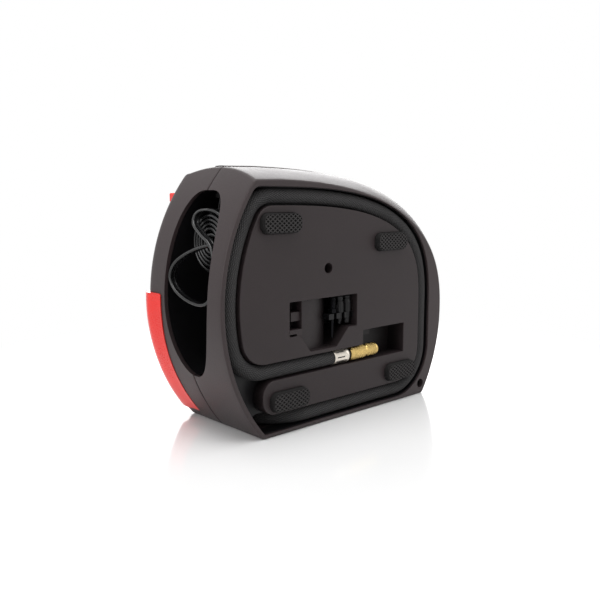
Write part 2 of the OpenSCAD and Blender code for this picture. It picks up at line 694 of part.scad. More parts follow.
// ---- hose and its ends ----
ferrule_u = 59.6;
hose_end_u = ferrule_u + ferrule_l - 4;
dive_steps = 10;
function hose_route() = concat(
  [dive_end],
  [for (i = [dive_steps:-1:1]) let (a = dive_turn * i / dive_steps)
    [dive_u - dive_r * sin(a), hose_low, hose_d + dive_r * (1 - cos(a))]],
  [for (i = [0:9]) [mix(dive_u, low_bend_c[0], i / 9), hose_low, hose_d]],
  flat(slice(low_corner(0), 1)), [[loop_reach, (low_bend_c[1] + loop_mid) / 2, hose_d]],
  flat(round_top(0)), flat(top_corner(0)), flat(slice(arch(0), 1)), flat(slice(in_corner(0), 1)),
  [for (i = [1:6]) [mix(in_bend_c[0], hose_end_u, i / 6), chuck_z, hose_d]]);
function flat(p) = [for (q = p) [q[0], q[1], hose_d]];
function slice(p, k) = [for (i = [k:len(p) - 1]) p[i]];
module air_hose() color([0.12, 0.12, 0.12]) {
  tube([for (p = hose_route()) at(p[0], p[1], p[2])], hose_od, hose_od, 12, [0, 0.3, 1]);
}
dive_end = [dive_u - dive_r * sin(dive_turn) - cos(dive_turn), hose_low,
  hose_d + dive_r * (1 - cos(dive_turn)) + sin(dive_turn)];
module hose_nipple() color([0.78, 0.68, 0.38]) {
  translate(at(dive_end[0], dive_end[1], dive_end[2] + snug))
    rotate([90, 0, 90 - dive_turn]) {
      cylinder(r = 4.4, h = 3);
      difference() {
        cylinder(r = 3.4, h = nipple_l);
        translate([0, 0, nipple_l - 4]) cylinder(r = 2.6, h = 5);
      }
    }
}
nipple_l = 13;
module at_chuck(u) { translate(at(u, chuck_z, hose_d)) rotate([0, -90, 0]) children(); }
module hose_ferrule() color([0.75, 0.75, 0.76]) {
  difference() {
    union() {
      at_chuck(ferrule_u) cylinder(r = ferrule_od / 2, h = ferrule_l);
      at_chuck(ferrule_u + ferrule_l - 1) cylinder(r = 2, h = seal_l + 9);
    }
    at_chuck(ferrule_u - 1) cylinder(r = hose_r + 0.02, h = hose_end_u - ferrule_u + 1 + snug);
  }
}
seal_l = 2.4;
module chuck_seal() color([0.07, 0.07, 0.07]) {
  difference() {
    at_chuck(ferrule_u + ferrule_l + snug) cylinder(r = 4.2, h = seal_l - 2 * snug);
    at_chuck(ferrule_u) cylinder(r = 2.1, h = 30);
  }
}
chuck_u = ferrule_u + ferrule_l + seal_l;
chuck_bore = 3.85;
chuck_bore_l = 9;
module brass_chuck() color([0.82, 0.70, 0.40]) {
  at_chuck(chuck_u)
    difference() {
      union() {
        cylinder(r = chuck_od / 2, h = chuck_l * 0.55);
        cylinder(r = chuck_od / 2 - 0.5, h = chuck_l);
      }
      translate([0, 0, -1]) cylinder(r = 2 + run_fit, h = 9.4);
      translate([0, 0, chuck_l - chuck_bore_l]) cylinder(r = chuck_bore, h = chuck_bore_l + 1);
    }
}

// ---- adapters, each standing in the rack with its stem down ----
module at_adapter(k) {
  translate([base_left - adapters[k][0], back_y - adapters[k][1], rack_z]) children();
}
module ball_needle() color([0.80, 0.80, 0.81]) {
  at_adapter(0) {
    translate([0, 0, snug]) cylinder(r = 2.95, h = 3, $fn = 6);
    translate([0, 0, 3]) cylinder(r = 2.4, h = 7.4);
    translate([0, 0, -16]) cylinder(r = adapters[0][2], h = 17);
  }
}
module slim_nozzle() color([0.10, 0.10, 0.10]) {
  at_adapter(1)
    rotate_extrude() polygon([
      [0, -7.5], [1.2, -7.5], [adapters[1][2], -4], [adapters[1][2], snug], [2.9, snug],
      [2.9, 5], [2.5, 6.5], [2.5, 10.4], [0, 10.4]]);
}
module wide_nozzle() color([0.10, 0.10, 0.10]) {
  at_adapter(2)
    rotate_extrude() polygon([
      [0, -7.5], [2, -7.5], [adapters[2][2], -4], [adapters[2][2], snug], [3.1, snug],
      [3.1, 6.5], [2.7, 7.5], [2.7, 10.4], [0, 10.4]]);
}

// ---- the lead, its compartment and its plug ----
lead_e = -8.2;                                     // where the lead comes in, from base_left
grommet = [base_left + lead_e, 46.3, 145];         // [X, depth, top of the boss]
module lead_tray() color([0.10, 0.10, 0.10]) {
  difference() {
    union() {
      intersection() {
        side_core(side_r - wall - 0.3);
        side_slab(tray_in - tray_wall, tray_in + 60) tray_outline(tray_wall);
      }
      translate([grommet[0], back_y - grommet[1], grommet[2] - 5.5]) cylinder(r = 6.4, h = 5.5);
    }
    side_slab(tray_in, tray_in + 60) tray_outline(0);
    translate([grommet[0], back_y - grommet[1], 130]) cylinder(r = 4.5 + 0.02, h = 30);
  }
}
module lead_grommet() color([0.08, 0.08, 0.08]) {
  translate([grommet[0], back_y - grommet[1], grommet[2]])
    difference() {
      union() {
        translate([0, 0, snug]) cylinder(r = 6, h = 2);
        translate([0, 0, -6.5]) cylinder(r = 4.5, h = 7);
      }
      translate([0, 0, -8]) linear_extrude(12)
        square([lead_w + 0.3, lead_t + 0.6], center = true);
    }
}
coil_c = [35, 113];                                // [depth, z] of the coil's axis
coil_e = [-8.2, -2.75, 2.7, 8.15];                 // its layers along X, from base_left
coil_pitch = lead_t + 0.45;
coil_loops = 20.75;
layer_loops = coil_loops / len(coil_e);
coil_rings = 24;                                   // rings in each loop
// Radius lost after s loops of a layer: it rests, steps in, winds on, steps in and rests again
function coil_drop(s) = coil_pitch * (
  min(1, max(0, (s - 0.25) / 0.5)) + min(layer_loops - 1.5, max(0, s - 0.75))
  + min(1, max(0, (s - layer_loops + 0.75) / 0.5)));
function coil_point(q) =
  let (k = min(len(coil_e) - 1, floor(q / layer_loops)), s = q - k * layer_loops,
       up = k < len(coil_e) - 1 ? min(1, max(0, (s - layer_loops + 0.25) / 0.5)) : 0,
       down = k > 0 ? min(1, max(0, (0.25 - s) / 0.5)) : 0,
       r = coil_r - coil_drop(k % 2 == 0 ? s : layer_loops - s),
       e = coil_e[k] + up * (coil_e[min(len(coil_e) - 1, k + 1)] - coil_e[k])
         - down * (coil_e[k] - coil_e[max(0, k - 1)]))
  [base_left + e, back_y - coil_c[0] - r * cos(360 * q), coil_c[1] - r * sin(360 * q)];
module lead(path) { tube(path, lead_w / cos(30), lead_t, 6, [1, 0, 0]); }
module lead_coil() color([0.07, 0.07, 0.07]) {
  n = round(coil_loops * coil_rings);
  path = [for (i = [0:n]) coil_point(i / coil_rings)];
  // least gap between loops, with each section taken as a box turned with its slope
  rad = [for (p = path) norm([back_y - p[1] - coil_c[0], p[2] - coil_c[1]])];
  tilt = [for (i = [0:n]) let (t = unit(path[min(n, i + 1)] - path[max(0, i - 1)]))
    sqrt(1 - t[0] * t[0])];
  gap = min([for (i = [0:n - coil_rings], j = [i + coil_rings:coil_rings:n])
    max(abs(rad[i] - rad[j]) - lead_t / cos(9),
        abs(path[i][0] - path[j][0]) - lead_w / 2 / tilt[i] - lead_w / 2 / tilt[j])]);
  echo(least_coil_gap = gap);
  lead(path);
}
board_x = base_left - board_u[0] - 6;              // where the lead meets the circuit board
board_end = [[board_x, board_d - 0.1, 100], [board_x + 0.2, 65, 100.2], [board_x + 2, 63.4, 103],
  [39, 63, 109.5], [45.5, 63, 117], [52, 63, 126.5], [58.5, 63, 137], [63.5, 61, 146],
  [66.6, 56.4, 151.2], [grommet[0], 51, 152.4], [grommet[0], 47.4, 150.8], [grommet[0], 46.3, 147]];
tray_run = [[lead_e, 46.3, 142], [lead_e, 46.6, 138], [lead_e, 49.6, 129], [lead_e, 52.2, 121],
  [lead_e, 53.3, 116], [lead_e, 53.3, 113.15]];
loose_run = [[8.15, 35.15, 131.3], [9.2, 38.8, 131.5], [11.2, 42, 130.4], [13.4, 43.2, 127.4],
  [15.6, 40.6, 122.6], [18.2, 29.5, 117], [19.4, 22.8, 114.4], [20, 17.8, 110], [20.4, 15.8, 104],
  [20.8, 15.5, 97.5], [21.2, 15.6, 91], [21.8, 16.8, 84.6], [22.4, 19.8, 80.2], [23, 25.6, 78.4],
  [23.6, 34, 79.2], [24.2, 43, 82], [24.5, 50, 86.3], [24.6, 53.4, 92.8], [23.6, 51, 99.6],
  [21.4, 45.5, 104.6], [18.4, 38.5, 108.5], [15.6, 31.5, 111], [13.6, 25, 112],
  [13.4, 19, 110.5], [12.2, 15.6, 105.8], [9, 15.4, 100.5], [4.8, 18.2, 96.2], [2.4, 22.4, 93.6],
  [1.3, 25.4, 91.4], [1.3, 26, 88.1]];
module power_lead() color([0.07, 0.07, 0.07]) {
  start = concat([for (p = board_end) [p[0], back_y - p[1], p[2]]],
    [for (p = tray_run) [base_left + p[0], back_y - p[1], p[2]]]);
  lead(spline(start, 3));
  lead(spline([for (p = loose_run) [base_left + p[0], back_y - p[1], p[2]]], 3));
}
plug_at = [base_left + 1.3, back_y - 26, 0];
plug_r = plug_od / 2;
plug_low = 33;                                     // lower end of the plug's body
fuse_l = 25.4;
tip_travel = 2.5;
contact_travel = 0.8;
contact_in = 7;                                    // inner face of a contact, from the axis
slot_in = contact_in - contact_travel - 0.1;
cap_top = plug_low + 4;
tip_top = cap_top + 2;
fuse_top = tip_top + snug + fuse_l;
spring_top = fuse_top + 6.1 + tip_travel;
module plug_body() color([0.11, 0.11, 0.11]) {
  translate(plug_at)
    difference() {
      rotate_extrude() polygon([
        [0, plug_low], [plug_r - 0.6, plug_low], [plug_r, plug_low + 0.6], [plug_r, 60],
        [plug_r - 1, 66], [8.4, 74], [5.6, 81], [4.4, 83], [4.4, 88], [0, 88]]);
      translate([0, 0, plug_low - 1]) cylinder(r = 5.3, h = spring_top - plug_low + 1 + snug);
      translate([0, 0, plug_low - 1]) cylinder(r = 7.5 + 0.02, h = 5 + snug);
      for (s = [-1, 1])
        translate([-2.6 - clear, s > 0 ? slot_in : -plug_r - 1, 44 - clear])
          cube([5.2 + 2 * clear, plug_r + 1 - slot_in, 12 + 2 * clear]);
    }
}
module plug_cap() color([0.14, 0.14, 0.14]) {
  translate(plug_at)
    difference() {
      union() {
        translate([0, 0, plug_low - 5]) cylinder(r = 9.4, h = 5 - snug);
        translate([0, 0, plug_low - 1]) cylinder(r = 7.5, h = 5);
      }
      translate([0, 0, 0]) cylinder(r = 3.9 + run_fit, h = 60);
    }
}
module plug_tip() color([0.80, 0.80, 0.80]) {
  translate(plug_at)
    rotate_extrude() polygon([
      [0, plug_low - 8], [2.4, plug_low - 8], [3.9, plug_low - 6.5], [3.9, cap_top + 0.1],
      [5, cap_top + 0.1], [5, tip_top], [0, tip_top]]);
}
module contact(s) {
  translate(plug_at + [-2.6, 0, 44])
    mirror([0, s > 0 ? 0 : 1, 0])
      rotate([90, 0, 90]) linear_extrude(5.2)
        polygon([[contact_in, 0], [plug_r - 0.5, 0], [plug_r + 1.1, 3.5], [plug_r + 1.1, 8.5],
          [plug_r - 0.5, 12], [contact_in, 12]]);
}
module plug_contact_a() color([0.78, 0.78, 0.78]) { contact(1); }
module plug_contact_b() color([0.78, 0.78, 0.78]) { contact(-1); }
module plug_spring() color([0.70, 0.70, 0.70]) {
  translate(plug_at + [0, 0, fuse_top + snug])
    difference() {
      cylinder(r = 4.9, h = spring_top - fuse_top - 2 * snug);
      translate([0, 0, -1]) cylinder(r = 4.1, h = 20);
    }
}
module plug_fuse() color([0.75, 0.78, 0.80]) {
  translate(plug_at + [0, 0, tip_top + snug]) cylinder(r = 3.15, h = fuse_l);
}

// ---- motor, with its axis along X ----
can_r = can_od / 2;
can_wall = 1.2;
shaft_r = 1.585;
bearing_r = 4;
cap_t = 6;
module ring_x(x, r1, r0, l) {
  on_x(x, motor_z) difference() {
    cylinder(r = r1, h = l);
    translate([0, 0, -1]) cylinder(r = r0, h = l + 2);
  }
}
module screw_pair() {
  for (s = [-1, 1]) translate([frame_x, mech_y + s * 12.5, motor_z]) rotate([0, -90, 0]) children();
}
module motor_can() color([0.62, 0.63, 0.65]) {
  difference() {
    on_x(can_x, motor_z) cylinder(r = can_r, h = can_l - snug);
    on_x(can_x + 1, motor_z) cylinder(r = can_r - can_wall, h = can_l - 3.5);
    on_x(can_x, motor_z) cylinder(r = bearing_r + 0.02, h = can_l + 5);
    screw_pair() translate([0, 0, -6]) cylinder(r = 1.35, h = 7);
  }
}
module motor_end_cap() color([0.12, 0.12, 0.13]) {
  difference() {
    union() {
      ring_x(can_x + cap_t, can_r, bearing_r + 0.02, cap_t - snug);
      ring_x(can_x + 1, can_r - can_wall - snug, 12, 4);
    }
  }
}
module motor_magnets() color([0.24, 0.24, 0.26]) {
  for (a = [-60, 120])
    on_x(can_x - 8, motor_z)
      rotate_extrude(angle = 120, start = a)
        translate([14.2, 0]) square([can_r - can_wall - 14.2 - snug, 38]);
}
module motor_brushes() color([0.20, 0.18, 0.17]) {
  for (s = [-1, 1])
    translate([can_x - 8, mech_y + (s > 0 ? 5 + run_fit : -11.6), motor_z - 2]) cube([4.9, 6.56, 4]);
}
module motor_bearings() color([0.72, 0.60, 0.38]) {
  ring_x(frame_x + 3.4, bearing_r, shaft_r + run_fit, 3.3);
  ring_x(can_x + cap_t - 0.5, bearing_r, shaft_r + run_fit, cap_t - 1.5);
}
module motor_rotor() color([0.66, 0.45, 0.25]) {
  difference() {
    on_x(can_x - 12, motor_z) cylinder(r = 13.6, h = 30);
    on_x(can_x, motor_z) cylinder(r = shaft_r + 0.02, h = can_l);
    for (k = [0:4])
      on_x(can_x, motor_z) rotate([0, 0, 72 * k]) {
        translate([7, -2.2, 0]) cube([5, 4.4, can_l]);
        translate([11, -0.9, 0]) cube([5, 1.8, can_l]);
      }
  }
  ring_x(can_x - 3, 5, shaft_r + 0.02, 6);
  ring_x(can_x - 8, 3.2, shaft_r + 0.02, 6);
}
module motor_shaft() color([0.82, 0.83, 0.84]) {
  on_x(can_x + cap_t - 1, motor_z) cylinder(r = shaft_r, h = can_x + cap_t - 1 - gear_x + gear_w + 0.8);
}
module motor_screws() color([0.78, 0.78, 0.80]) {
  screw_pair() {
    translate([0, 0, frame_t + snug]) cylinder(r = 2.6, h = 1.1);
    translate([0, 0, -2.6]) cylinder(r = 1.3, h = frame_t + 3);
  }
}

// ---- gears: involute teeth, the pinion's pushed out and the wheel's pushed in ----
tooth_shift = 0.3;
tooth_play = 0.12;
function roll(a) = tan(a) * 180 / PI - a;
function tooth_half(r, n, x) =
  let (base = gear_m * n / 2 * cos(20), a = r > base ? acos(base / r) : 0)
  (90 + 2 * x * tan(20) * 180 / PI) / n + roll(20) - roll(a) - tooth_play / r * 180 / PI;
module toothed(n, x) {
  r = gear_m * n / 2;
  radii = [r - gear_m * (1.2 - x), max(r - gear_m * (0.9 - x), r * cos(20)), r + gear_m * x,
    r + gear_m * (0.85 + x)];
  polygon([for (k = [0:n - 1])
    each concat(
      [for (q = radii) let (a = 360 * k / n - tooth_half(q, n, x)) q * [cos(a), sin(a)]],
      [for (i = [3:-1:0]) let (a = 360 * k / n + tooth_half(radii[i], n, x))
        radii[i] * [cos(a), sin(a)]])]);
}
module pinion() color([0.80, 0.70, 0.42]) {
  on_x(gear_x, motor_z)
    difference() {
      rotate(180) linear_extrude(gear_w + 0.5) toothed(pinion_teeth, tooth_shift);
      translate([0, 0, -1]) cylinder(r = shaft_r + 0.02, h = 20);
    }
}
axle_r = 2.5;
pin_r = 2;
module crank_gear() color([0.84, 0.84, 0.82]) {
  on_x(gear_x, crank_z) {
    difference() {
      rotate(180 / gear_teeth) linear_extrude(gear_w) toothed(gear_teeth, -tooth_shift);
      translate([0, 0, -1]) cylinder(r = axle_r + run_fit, h = 20);
      translate([0, 0, gear_w - 2]) difference() {
        cylinder(r = 17.5, h = 3);
        translate([0, 0, -1]) cylinder(r = 5.2, h = 5);
        translate([-throw, 0, -1]) cylinder(r = 4, h = 5);
      }
    }
    translate([-throw, 0, gear_w - 1]) cylinder(r = pin_r, h = pin_l + 1);
  }
}
module crank_axle() color([0.80, 0.80, 0.82]) {
  on_x(frame_x + 2, crank_z) {
    cylinder(r = 4, h = 2 - snug);
    cylinder(r = axle_r, h = frame_x + 2 - gear_x + gear_w + 0.7);
  }
  on_x(gear_x - gear_w - 0.1, crank_z) cylinder(r = 3.8, h = 0.6);
}
module pump_frame() color([0.50, 0.51, 0.53]) {
  difference() {
    union() {
      translate([frame_x - frame_t, mech_y - frame_half, shelf_z])
        cube([frame_t, 2 * frame_half, 140 - shelf_z]);
      translate([rod_x - head_half, mech_y - head_half, shelf_z])
        cube([2 * head_half, 2 * head_half, shelf_t]);
    }
    on_x(frame_x + 1, motor_z) cylinder(r = 6.5, h = frame_t + 2);
    on_x(frame_x + 1, crank_z) cylinder(r = axle_r + 0.02, h = frame_t + 2);
    screw_pair() translate([0, 0, -1]) cylinder(r = 1.35, h = frame_t + 2);
    translate([rod_x, mech_y, shelf_z - 1]) cylinder(r = 12.6, h = shelf_t + 2);
    translate([0, 0, shelf_z - 1]) bolt_places() cylinder(r = 1.5 + 0.02, h = shelf_t + 2);
  }
}

// ---- pump: the crank is at its lowest, so the piston is at the head ----
module connecting_rod() color([0.70, 0.71, 0.73]) {
  translate([rod_x + rod_t / 2, 0, 0])
    difference() {
      union() {
        on_x(0, eye_z) cylinder(r = 5.5, h = rod_t);
        on_x(0, wrist_z) cylinder(r = 4, h = rod_t);
        translate([-rod_t, mech_y - 2.8, wrist_z]) cube([rod_t, 5.6, rod_l]);
      }
      on_x(1, eye_z) cylinder(r = pin_r + 0.05, h = rod_t + 2);
      on_x(1, wrist_z) cylinder(r = pin_r + run_fit, h = rod_t + 2);
    }
}
pocket = [8, 16];
module piston() color([0.74, 0.75, 0.77]) {
  difference() {
    translate([rod_x, mech_y, crown_z]) cylinder(r = piston_r, h = piston_h);
    translate([rod_x - pocket[0] / 2, mech_y - pocket[1] / 2, crown_z + 4.6])
      cube([pocket[0], pocket[1], 20]);
    translate([rod_x, mech_y, crown_z + 2]) difference() {
      cylinder(r = 12, h = 2.2);
      translate([0, 0, -1]) cylinder(r = 9.5, h = 5);
    }
    on_x(rod_x + 10, wrist_z) cylinder(r = pin_r + 0.02, h = 20);
  }
}
module piston_ring() color([0.16, 0.16, 0.17]) {
  translate([rod_x, mech_y, crown_z + 2.1]) difference() {
    cylinder(r = bore_d / 2 - 0.02, h = 2);
    translate([0, 0, -1]) cylinder(r = 9.6, h = 5);
  }
}
module wrist_pin() color([0.82, 0.83, 0.84]) {
  on_x(rod_x + 9.5, wrist_z) cylinder(r = pin_r, h = 19);
}
fin_r = 16.5;
module pump_cylinder() color([0.60, 0.61, 0.63]) {
  difference() {
    union() {
      translate([rod_x, mech_y, head_z + snug])
        cylinder(r = bore_d / 2 + bore_wall, h = shelf_z - head_z - 2 * snug);
      for (k = [0:3])
        translate([rod_x, mech_y, head_z + snug + 5.5 * k]) cylinder(r = fin_r, h = k == 0 ? 3 : 1.8);
      translate([rod_x, mech_y, shelf_z - snug - 2.4]) cylinder(r = fin_r, h = 2.4);
    }
    translate([rod_x, mech_y, head_z - 1]) cylinder(r = bore_d / 2, h = 40);
  }
}
outlet_z = head_z - 7;
barb_x = rod_x + head_half;
module cylinder_head() color([0.58, 0.59, 0.61]) {
  difference() {
    union() {
      translate([rod_x - head_half, mech_y - head_half, head_z - head_h])
        cube([2 * head_half, 2 * head_half, head_h]);
      translate([barb_x - 1, mech_y, outlet_z]) rotate([0, 90, 0]) cylinder(r = 3.6, h = 9);
    }
    translate([rod_x, mech_y, head_z - 8.2 - valve_lift]) cylinder(r = 4.6, h = 5.2 + valve_lift);
    translate([rod_x, mech_y, head_z - 4]) cylinder(r = 2, h = 5);
    translate([rod_x, mech_y, outlet_z]) rotate([0, 90, 0]) cylinder(r = 1.2, h = 30);
    translate([barb_x + 4, mech_y, outlet_z]) rotate([0, 90, 0]) cylinder(r = 2.6, h = 5);
    translate([0, 0, head_z - head_h - 1]) bolt_places() cylinder(r = 1.6, h = head_h + 2);
  }
}
module head_bolts() color([0.25, 0.25, 0.27]) {
  translate([0, 0, head_z - head_h]) bolt_places() {
    translate([0, 0, -2.8]) cylinder(r = 2.7, h = 2.75);
    translate([0, 0, -1]) cylinder(r = 1.5, h = head_h + shelf_z - head_z + 5);
  }
}
valve_lift = 0.8;
module outlet_valve() color([0.75, 0.55, 0.30]) {
  translate([rod_x, mech_y, head_z - 3]) {
    translate([0, 0, -1.55]) cylinder(r = 3.6, h = 1.5);
    translate([0, 0, -3.6]) cylinder(r = 1.4, h = 2.2);
  }
}
module air_pipe() color([0.70, 0.72, 0.72]) {
  aim = [cos(dive_turn), -sin(dive_turn), 0];
  foot = at(dive_end[0], dive_end[1], dive_end[2]);
  far = [barb_x + 4 + snug, mech_y, outlet_z];
  tube(spline([foot + aim * (nipple_l - 4 + 0.2), foot + aim * nipple_l, foot + aim * (nipple_l + 4),
    [71.5, back_y - 52, 7.9], [66, back_y - 54.5, 8.4], [56, back_y - 54, 10], [40, back_y - 50, 14],
    [22, back_y - 46, 21.5], [8, back_y - 43.4, 29.4], far + [9, -0.2, -0.4], far + [4, 0, 0], far], 3),
    5, 5, 8, [0, 0.2, 1]);
}

// ---- electronics and the front's own pieces ----
module circuit_board() color([0.10, 0.36, 0.20]) {
  difference() {
    slab(board_d, board_d + board_t)
      translate([board_u[0], board_z[0]]) square([board_u[1] - board_u[0], board_z[1] - board_z[0]]);
    for (p = board_posts) bore_in(p[0], p[1], board_d - 1) cylinder(r = 1.2 + snug, h = 4);
    bore_in(screws[0][0], screws[0][1], board_d - 1) cylinder(r = 4, h = 4);
  }
  for (k = keys) {
    slab(board_d + board_t - 0.2, 70.8) translate(k) square([6, 6], center = true);
    bore_in(k[0], k[1], 70.5) cylinder(r = 1.7, h = key_flange - key_travel - 0.2 - 70.5);
  }
  slab(board_d - 1.6, board_d + 0.2) translate([66, 66]) square([14, 9]);
  slab(board_d - 1.4, board_d + 0.2) translate([90, 60]) square([6, 6]);
  slab(board_d - 2.2, board_d + 0.2) translate([48, 62]) square([8, 8]);
}
module display() color([0.35, 0.42, 0.38]) {
  slab(board_d + board_t + snug, 75.2) translate(window_c)
    square([window_w - 4, window_h - 4], center = true);
}
module display_window() color([0.06, 0.07, 0.08]) {
  slab(front_d + snug, front_d + 2.2) translate(window_c) rounded(window_w, window_h, 2);
}
module control_panel() color([0.09, 0.09, 0.10]) {
  difference() {
    slab(front_d + snug, front_d + 2.4) translate(panel_c) rounded(board_w, board_h, board_w / 6);
    slab(front_d - 1, front_d + 4) translate(window_c) rounded(window_w + 0.2, window_h + 0.2, 2);
    for (k = keys) bore_in(k[0], k[1], front_d - 1) cylinder(r = key_od / 2 + clear, h = 5);
  }
}
module key(k) {
  bore_in(k[0], k[1], key_flange) cylinder(r = key_od / 2 + 1.5, h = 1);
  bore_in(k[0], k[1], face_in - 0.5) cylinder(r = key_od / 2, h = front_d + key_proud - face_in + 0.5);
}
module button_up() color([0.20, 0.20, 0.21]) { key(keys[0]); }
module button_unit() color([0.20, 0.20, 0.21]) { key(keys[1]); }
module button_down() color([0.20, 0.20, 0.21]) { key(keys[2]); }
module light_button() color([0.86, 0.16, 0.13]) {
  slab(66, 79) translate(light_c) rounded(light_w, light_h, 1.2);
  slab(face_in - 1.6, face_in - 0.2) translate(light_c + [5.4, 0])
    square([light_w - 6.4, light_h + 3], center = true);
}
rocker_w = 9;
rocker_h = 17;
rocker_d = 74.4;
rocker_tilt = 8;
module switch_body() color([0.07, 0.07, 0.08]) {
  difference() {
    union() {
      slab(front_d + snug, front_d + 1.2) translate(switch_c)
        square([switch_w + 4, switch_h + 4], center = true);
      slab(63, front_d + 0.5) translate(switch_c) square([switch_w, switch_h], center = true);
    }
    slab(69, front_d + 2) translate(switch_c) square([rocker_w + 0.6, rocker_h + 0.8], center = true);
  }
}
module switch_rocker() color([0.75, 0.12, 0.10]) {
  translate([base_left - switch_c[0] - rocker_w / 2, back_y - rocker_d, switch_c[1]])
    rotate([rocker_tilt, 0, 0]) rotate([90, 0, 90])
      linear_extrude(rocker_w)
        polygon([[-4.2, -8.2], [-3.4, 0], [-4.2, 8.2], [-1, 8], [2.6, 3], [2.6, -3], [-1, -8]]);
}
module at_lamp(d) { bore_in(lamp_c[0], lamp_c[1], d) children(); }
lens_r = lens_od / 2;
module lamp_bezel() color([0.12, 0.12, 0.13]) {
  at_lamp(front_d + snug) difference() {
    union() {
      cylinder(r = lens_r + 4, h = 1.8);
      cylinder(r = lens_r + 3, h = 2.9);
    }
    translate([0, 0, -1]) cylinder(r = lens_r + snug, h = 6);
  }
}
module lamp_lens() color([0.85, 0.88, 0.90]) { at_lamp(front_d - 2) cylinder(r = lens_r, h = 4.4); }
module lamp_reflector() color([0.88, 0.88, 0.89]) {
  at_lamp(66.7) rotate_extrude()
    polygon([[9, 0], [lens_r, 0], [lens_r, 7.2], [lens_r - 0.8, 7.2], [10, 1]]);
}
module lamp_board() color([0.90, 0.90, 0.86]) {
  at_lamp(lamp_seat + 1 + snug) {
    cylinder(r = lens_r, h = 1.5);
    for (k = [0:5]) rotate([0, 0, 60 * k]) translate([5.5, -1.4, 1]) cube([2.8, 2.8, 1.3]);
    translate([-1.4, -1.4, 1]) cube([2.8, 2.8, 1.3]);
  }
}

rear_shell();
front_shell();
red_accent();
top_strip();
rubber_feet();
case_screws();
lead_tray();
air_hose();
hose_nipple();
hose_ferrule();
chuck_seal();
brass_chuck();
ball_needle();
wide_nozzle();
slim_nozzle();
lead_grommet();
power_lead();
lead_coil();
plug_body();
plug_cap();
plug_tip();
plug_contact_a();
plug_contact_b();
plug_spring();
plug_fuse();
motor_can();
motor_end_cap();
motor_magnets();
motor_brushes();
motor_bearings();
motor_rotor();
motor_shaft();
pinion();
motor_screws();
pump_frame();
crank_gear();
crank_axle();
connecting_rod();
piston();
piston_ring();
wrist_pin();
pump_cylinder();
cylinder_head();
head_bolts();
outlet_valve();
air_pipe();
circuit_board();
display();
display_window();
control_panel();
button_up();
button_down();
button_unit();
light_button();
switch_body();
switch_rocker();
lamp_bezel();
lamp_lens();
lamp_reflector();
lamp_board();
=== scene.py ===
"""Looks of a portable tire inflator: two ribbed shells, a braided hose wound in a groove round the
back, a lead stowed in the side compartment and the controls and work light on the front.

All sizes are millimetres in the part's own frame until a mesh is placed, which is in metres.
"""

import logging
import math
from contextlib import contextmanager
from dataclasses import dataclass, field
from enum import Enum
from typing import Callable, Iterable, Iterator, Sequence

import bmesh  # noqa: E402
import bpy  # noqa: E402
from mathutils import Matrix, Vector  # noqa: E402

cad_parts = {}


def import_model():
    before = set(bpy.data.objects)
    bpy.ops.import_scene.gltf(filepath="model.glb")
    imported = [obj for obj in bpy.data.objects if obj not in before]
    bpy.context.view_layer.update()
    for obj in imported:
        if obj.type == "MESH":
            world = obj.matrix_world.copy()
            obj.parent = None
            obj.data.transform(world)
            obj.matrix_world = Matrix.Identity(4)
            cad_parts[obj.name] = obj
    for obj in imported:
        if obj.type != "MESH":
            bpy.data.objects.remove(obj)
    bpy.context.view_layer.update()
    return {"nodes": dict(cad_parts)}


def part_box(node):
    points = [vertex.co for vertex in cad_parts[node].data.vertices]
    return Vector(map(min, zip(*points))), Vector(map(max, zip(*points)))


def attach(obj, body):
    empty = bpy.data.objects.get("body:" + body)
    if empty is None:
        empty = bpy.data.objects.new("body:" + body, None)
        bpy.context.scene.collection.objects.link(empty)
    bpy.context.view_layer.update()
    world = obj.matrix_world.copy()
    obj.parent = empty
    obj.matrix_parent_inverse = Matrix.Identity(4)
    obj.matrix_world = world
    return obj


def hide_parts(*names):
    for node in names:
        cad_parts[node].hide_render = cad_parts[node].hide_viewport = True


MM = 0.001
UP = Vector((0, 0, 1))
Point = tuple[float, float]
Triple = tuple[float, float, float]
Colour = Triple
Outline = Callable[[float], Sequence[Point]]
Wave = Callable[[float, float], float]
Piece = bpy.types.Object
Socket = bpy.types.NodeSocket
log = logging.getLogger("inflator")


# ---------------------------------------------------------------- plain geometry


def mix(a: float, b: float, f: float) -> float:
    """Value between a and b."""
    return a + (b - a) * f


def arc(c: Point, r: float, a0: float, a1: float, n: int) -> list[Point]:
    """Points on a circle round c from angle a0 to a1, in degrees."""
    angles = [math.radians(mix(a0, a1, i / n)) for i in range(n + 1)]
    return [(c[0] + r * math.cos(a), c[1] + r * math.sin(a)) for a in angles]


def oval_point(c: Point, a: float, b: float, n: float, q: float, t: float) -> Point:
    """A point of a rounded oval.

    Args:
        c: Centre.
        a: Reach along the first axis.
        b: Reach along the second axis.
        n: Power; 2 is an ellipse and more is squarer.
        q: Angle in degrees.
        t: Offset along the outward normal.

    Returns:
        The point.
    """
    cos, sin = math.cos(math.radians(q)), math.sin(math.radians(q))
    x, y = abs(cos) ** (2 / n), abs(sin) ** (2 / n)
    m = Vector(
        (math.copysign(x ** (n - 1) / a, cos), math.copysign(y ** (n - 1) / b, sin))
    ).normalized()
    return (
        c[0] + math.copysign(a * x, cos) + t * m[0],
        c[1] + math.copysign(b * y, sin) + t * m[1],
    )


def oval(
    c: Point, a: float, b: float, n: float, q0: float, q1: float, k: int, t: float = 0
) -> list[Point]:
    """Points of a rounded oval from angle q0 to q1."""
    return [oval_point(c, a, b, n, mix(q0, q1, i / k), t) for i in range(k + 1)]


def lengths(line: Sequence[Point]) -> list[float]:
    """Running length at each point of a line."""
    run = [0.0]
    for p, q in zip(line, line[1:]):
        run.append(run[-1] + math.dist(p, q))
    return run


